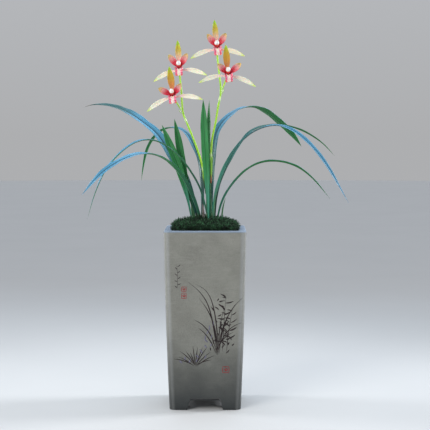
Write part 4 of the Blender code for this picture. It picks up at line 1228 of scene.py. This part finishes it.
def build_drawing():
    draw = Drawing()
    chance = random.Random(11)
    # The tall tuft, right of the middle.
    draw.stroke([(17, 82), (14, 112), (6, 150), (-6, 172), (-25, 189)], 1.7, belly=0.3)
    draw.stroke([(18, 82), (17, 120), (11, 156), (1, 176), (-15, 186)], 1.5, belly=0.35)
    for length, angle, bend, width in (
        (86, -3, -34, 1.5), (76, 6, 26, 1.7), (92, 9, 34, 1.3), (62, -12, -48, 1.6), (58, 15, 52, 1.4),
        (46, -20, -30, 1.5), (40, 24, 38, 1.5), (70, 1, 14, 1.2),
    ):
        draw.blade_of_grass(
            18 + chance.uniform(-3, 3), 84 + chance.uniform(-2, 3), length, angle, bend, width
        )
    # Short leaves along two upright stalks.
    for foot_x, lean, top in ((25, 5, 170), (31, 9, 150)):
        draw.stroke([(foot_x, 86), (foot_x + lean * 0.4, 120), (foot_x + lean, top)], 0.9, belly=0.2)
        for k in range(9):
            z = 100 + (top - 104) * k / 8
            x = foot_x + lean * ((z - 86) / (top - 86)) ** 1.2
            side = 1 if k % 2 else -1
            draw.dab(x, z, chance.uniform(8, 13), side * chance.uniform(48, 82), chance.uniform(1.3, 2.1))
    for x, z in ((12, 98), (24, 92), (33, 96), (8, 88), (38, 104), (30, 84), (15, 90)):
        draw.dab(x, z, chance.uniform(5, 8), chance.uniform(-70, 70), 1.7)
    # Loose leaves that thicken the tuft towards the right.
    for _ in range(34):
        z = chance.uniform(92, 168)
        x = 27 + chance.gauss(0, 5.5) - 0.1 * (z - 130)
        draw.dab(
            min(x, 40), z, chance.uniform(4, 9), chance.choice((-1, 1)) * chance.uniform(20, 85),
            chance.uniform(1.2, 2.2)
        )
    # The small tuft, low on the left, with faint lilac seed heads.
    for k in range(12):
        angle = -62 + 124 * k / 11
        draw.blade_of_grass(
            -17 + k * 0.5, 66 + chance.uniform(-2, 2), chance.uniform(17, 31), angle, angle * 0.35, 1.2
        )
    for x, z in ((-29, 74), (-24, 70), (-33, 69), (-9, 77), (-4, 84), (-14, 71), (2, 92), (-1, 76)):
        draw.dab(x, z, chance.uniform(5, 8), chance.uniform(-50, 50), 2.3, 1)
    for x, z in ((2, 112), (6, 118), (4, 100), (9, 106), (7, 94), (0, 104), (11, 124)):
        draw.dab(x, z, chance.uniform(5, 8), chance.uniform(-60, 60), 1.9, 1)
    # A slender sprig, high on the left, and three plain red stamps.
    draw.stroke([(-40, 178), (-39.4, 196), (-40.6, 214)], 0.5, belly=0.3)
    for k in range(8):
        side = 1 if k % 2 else -1
        draw.dab(
            -40 + 0.4 * side, 180 + 4.4 * k, chance.uniform(3.6, 5.4), side * chance.uniform(40, 70), 1.1
        )
    draw.stamp(-30.5, 178, 6.4, 6.4, 2)
    draw.stamp(-30.5, 168.4, 6.4, 7.6, 2)
    draw.stamp(30, 60, 9.0, 8.6, 2)
    made = finish_mesh("pot_drawing", draw.points, draw.faces, [INK, LILAC, RED], draw.kinds)
    stand_for(made, "stoneware")


# ---------------------------------------------------------------- moss and filling


def cushion_height(x, y):
    """The moss's surface above the rim: a low dome that meets the pot's walls at their top."""
    reach = np.maximum(np.abs(x), np.abs(y))
    round_off = (np.abs(x) ** 4 + np.abs(y) ** 4) ** 0.25
    share = np.clip(1 - (0.5 * reach + 0.5 * round_off) / 49.5, 0, 1)
    lumps = np.sin(x / 7.1 + 0.6) * np.sin(y / 8.3 - 0.4) + 0.6 * np.sin(x / 3.9 - y / 5.1)
    return 1.0 + 11.0 * share**0.6 + 0.9 * lumps * np.clip(share * 5, 0, 1)


def build_moss():
    """A lumpy cushion, and the small feathery shoots on it."""
    rows = 61
    line = np.linspace(-1, 1, rows)
    gx, gy = np.meshgrid(line, line)
    # A square grid drawn in towards a rounded outline.
    pull = MOSS_HALF * (1 - 0.1 * (np.abs(gx) * np.abs(gy)) ** 4)
    x, y = gx * pull, gy * pull
    z = RIM + cushion_height(x, y)
    edge = np.clip((np.maximum(np.abs(gx), np.abs(gy)) - 0.94) / 0.06, 0, 1)
    z = z - edge**2 * (z - RIM + 2.5)
    top = np.stack([x, y, z], axis=-1)
    under = np.stack([x * 0.95, y * 0.95, np.full_like(z, RIM - 11.6)], axis=-1)
    points = [*top.reshape(-1, 3), *under.reshape(-1, 3)]
    faces, _ = shell_faces(rows, rows)
    values = {"tone": [0.2] * len(points), "reach": [0.0] * len(points)}
    stand_for(
        finish_mesh("moss_cushion", points, faces, [MOSS], [0] * len(faces), None, values), "moss", "moss"
    )
    build_shoots()


def build_shoots():
    """Feathery shoots. Each leaflet is one face with no thickness."""
    chance = random.Random(5)
    points, faces, tone, reach = [], [], [], []
    for count in range(SHOOTS):
        x, y = chance.uniform(-47, 47), chance.uniform(-47, 47)
        # The last ones thicken the front edge.
        if count > FRONT_SHOOTS_FROM:
            y = chance.uniform(-47.3, -43)
        if (abs(x) ** 10 + abs(y) ** 10) ** 0.1 > 47.3:
            continue
        out = Vector((x, y, 0)) / 47
        low = 0.8 + 4.4 * min(max((max(abs(x), abs(y)) - 43.0) / 4.0, 0.0), 1.0)
        foot = Vector((x, y, RIM + float(cushion_height(np.array(x), np.array(y))) - low))
        # Shoots at the back and the sides reach over the rim.
        over = 0.75 if y > -30 else 0.3
        lean = Vector(
            (out.x * over + chance.gauss(0, 0.35), out.y * over + chance.gauss(0, 0.35), 1.0)
        ).normalized()
        length = (3.0 + 6.5 * chance.random() ** 2.2) * (1.1 - 0.2 * out.length)
        shade = chance.random()
        across = lean.orthogonal().normalized()
        other = lean.cross(across)
        for k in range(LEAFLETS):
            share = (k + 0.6) / LEAFLETS
            a = 2.4 * k + chance.uniform(-0.3, 0.3)
            outward = across * math.cos(a) + other * math.sin(a)
            base = foot + lean * (length * share)
            size = length * (0.5 - 0.28 * share)
            tip = base + outward * size + lean * (size * (0.45 + 0.9 * share))
            wide = lean.cross(outward) * (size * 0.19)
            middle = base.lerp(tip, 0.45) - lean * (size * 0.06)
            start = len(points)
            points += [base[:], (middle + wide)[:], tip[:], (middle - wide)[:]]
            faces.append((start, start + 1, start + 2, start + 3))
            tone += [shade] * 4
            reach += [share * 0.5, share * 0.8, min(share + 0.4, 1.0), share * 0.8]
    mesh = bpy.data.meshes.new("moss_shoots")
    mesh.from_pydata((np.array(points) * MM).tolist(), [], faces)
    mesh.materials.append(MOSS)
    set_values(mesh, "tone", tone)
    set_values(mesh, "reach", reach)
    stand_for(add_object("moss_shoots", mesh), "moss")


def dress_hidden_nodes():
    looks = {
        "potting_mix": loose_look(
            "potting mix", (0.03, 0.018, 0.01), (0.1, 0.06, 0.035), (0.24, 0.16, 0.1), 5.0
        ),
        "drainage_pumice": loose_look(
            "pumice", (0.28, 0.25, 0.2), (0.45, 0.42, 0.36), (0.62, 0.6, 0.55), 7.0
        ),
        "drain_screen": screen_look(),
        "pseudobulbs": bulb_look(),
    }
    for name, look in looks.items():
        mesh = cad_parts[name]
        if not mesh.material_slots:
            mesh.data.materials.append(look)
        for place in mesh.material_slots:
            place.material = look


# ---------------------------------------------------------------- studio


def area_light(name, location, aim, size, power, colour, spread):
    lamp = bpy.data.lights.new(name, "AREA")
    lamp.shape = "RECTANGLE"
    lamp.size, lamp.size_y = size
    lamp.energy = power
    lamp.color = colour
    lamp.spread = math.radians(spread)
    obj = add_object(name, lamp)
    obj.location = location
    obj.rotation_euler = (Vector(aim) - Vector(location)).to_track_quat("-Z", "Y").to_euler()


def build_studio():
    floor_look = Look("studio floor", 0.7)
    patches = floor_look.noise(floor_look.here(), 3.0)
    floor_look.paint(floor_look.ramp(patches, (0.3, (0.6, 0.6, 0.595)), (0.7, (0.62, 0.62, 0.615))))
    mesh = bpy.data.meshes.new("studio_floor")
    a = np.linspace(0, 2 * math.pi, 96, endpoint=False)
    mesh.from_pydata([(9 * math.cos(b), 9 * math.sin(b), 0.0) for b in a], [], [tuple(range(96))])
    mesh.materials.append(floor_look.material)
    floor = add_object("studio_floor", mesh)

    world = bpy.data.worlds.new("studio")
    world.use_nodes = True
    tree = world.node_tree
    back = tree.nodes["Background"]
    split = tree.nodes.new("ShaderNodeSeparateXYZ")
    tree.links.new(tree.nodes.new("ShaderNodeTexCoord").outputs["Generated"], split.inputs[0])
    ramp = tree.nodes.new("ShaderNodeValToRGB")
    ramp.color_ramp.elements[0].color = (0.42, 0.425, 0.435, 1.0)
    ramp.color_ramp.elements[1].position = 0.6
    ramp.color_ramp.elements[1].color = (0.62, 0.66, 0.72, 1.0)
    tree.links.new(split.outputs[2], ramp.inputs[0])
    tree.links.new(ramp.outputs[0], back.inputs["Color"])
    bpy.context.scene.world = world
    bpy.context.scene.view_settings.view_transform = "Standard"

    area_light("key", (-0.9, -1.3, 1.15), (0, 0, 0.45), (0.8, 0.8), 7.2, (1.0, 0.98, 0.94), 120)
    area_light("cool_top", (0.1, 0.9, 1.4), (0, 0, 0.4), (1.5, 0.9), 3.0, (0.6, 0.8, 1.0), 120)
    area_light("left_edge", (-1.4, 0.3, 0.85), (0, 0, 0.4), (0.4, 0.5), 2.0, (0.93, 0.96, 1.0), 70)
    area_light("right_edge", (1.4, 0.3, 0.85), (0, 0, 0.4), (0.4, 0.5), 3.8, (0.93, 0.96, 1.0), 70)

    lens = bpy.data.cameras.new("camera")
    lens.lens = 100
    lens.sensor_width = 36
    lens.clip_end = 60
    camera = add_object("camera", lens)
    camera.location = (0.0144, -1.770, 0.399)
    camera.rotation_euler = (math.radians(90 - 3.8), 0, 0)
    bpy.context.scene.camera = camera


def main():
    chance = random.Random(3)
    build_studio()
    build_pot()
    build_drawing()
    build_moss()
    dress_hidden_nodes()
    for name, spec in LEAVES.items():
        build_leaf(name, spec, chance)
    build_stems()
    build_sheaths()
    build_bracts()
    for seed, (name, spec) in enumerate(FLOWERS.items(), 21):
        Flower(name, spec, seed).build()


main()
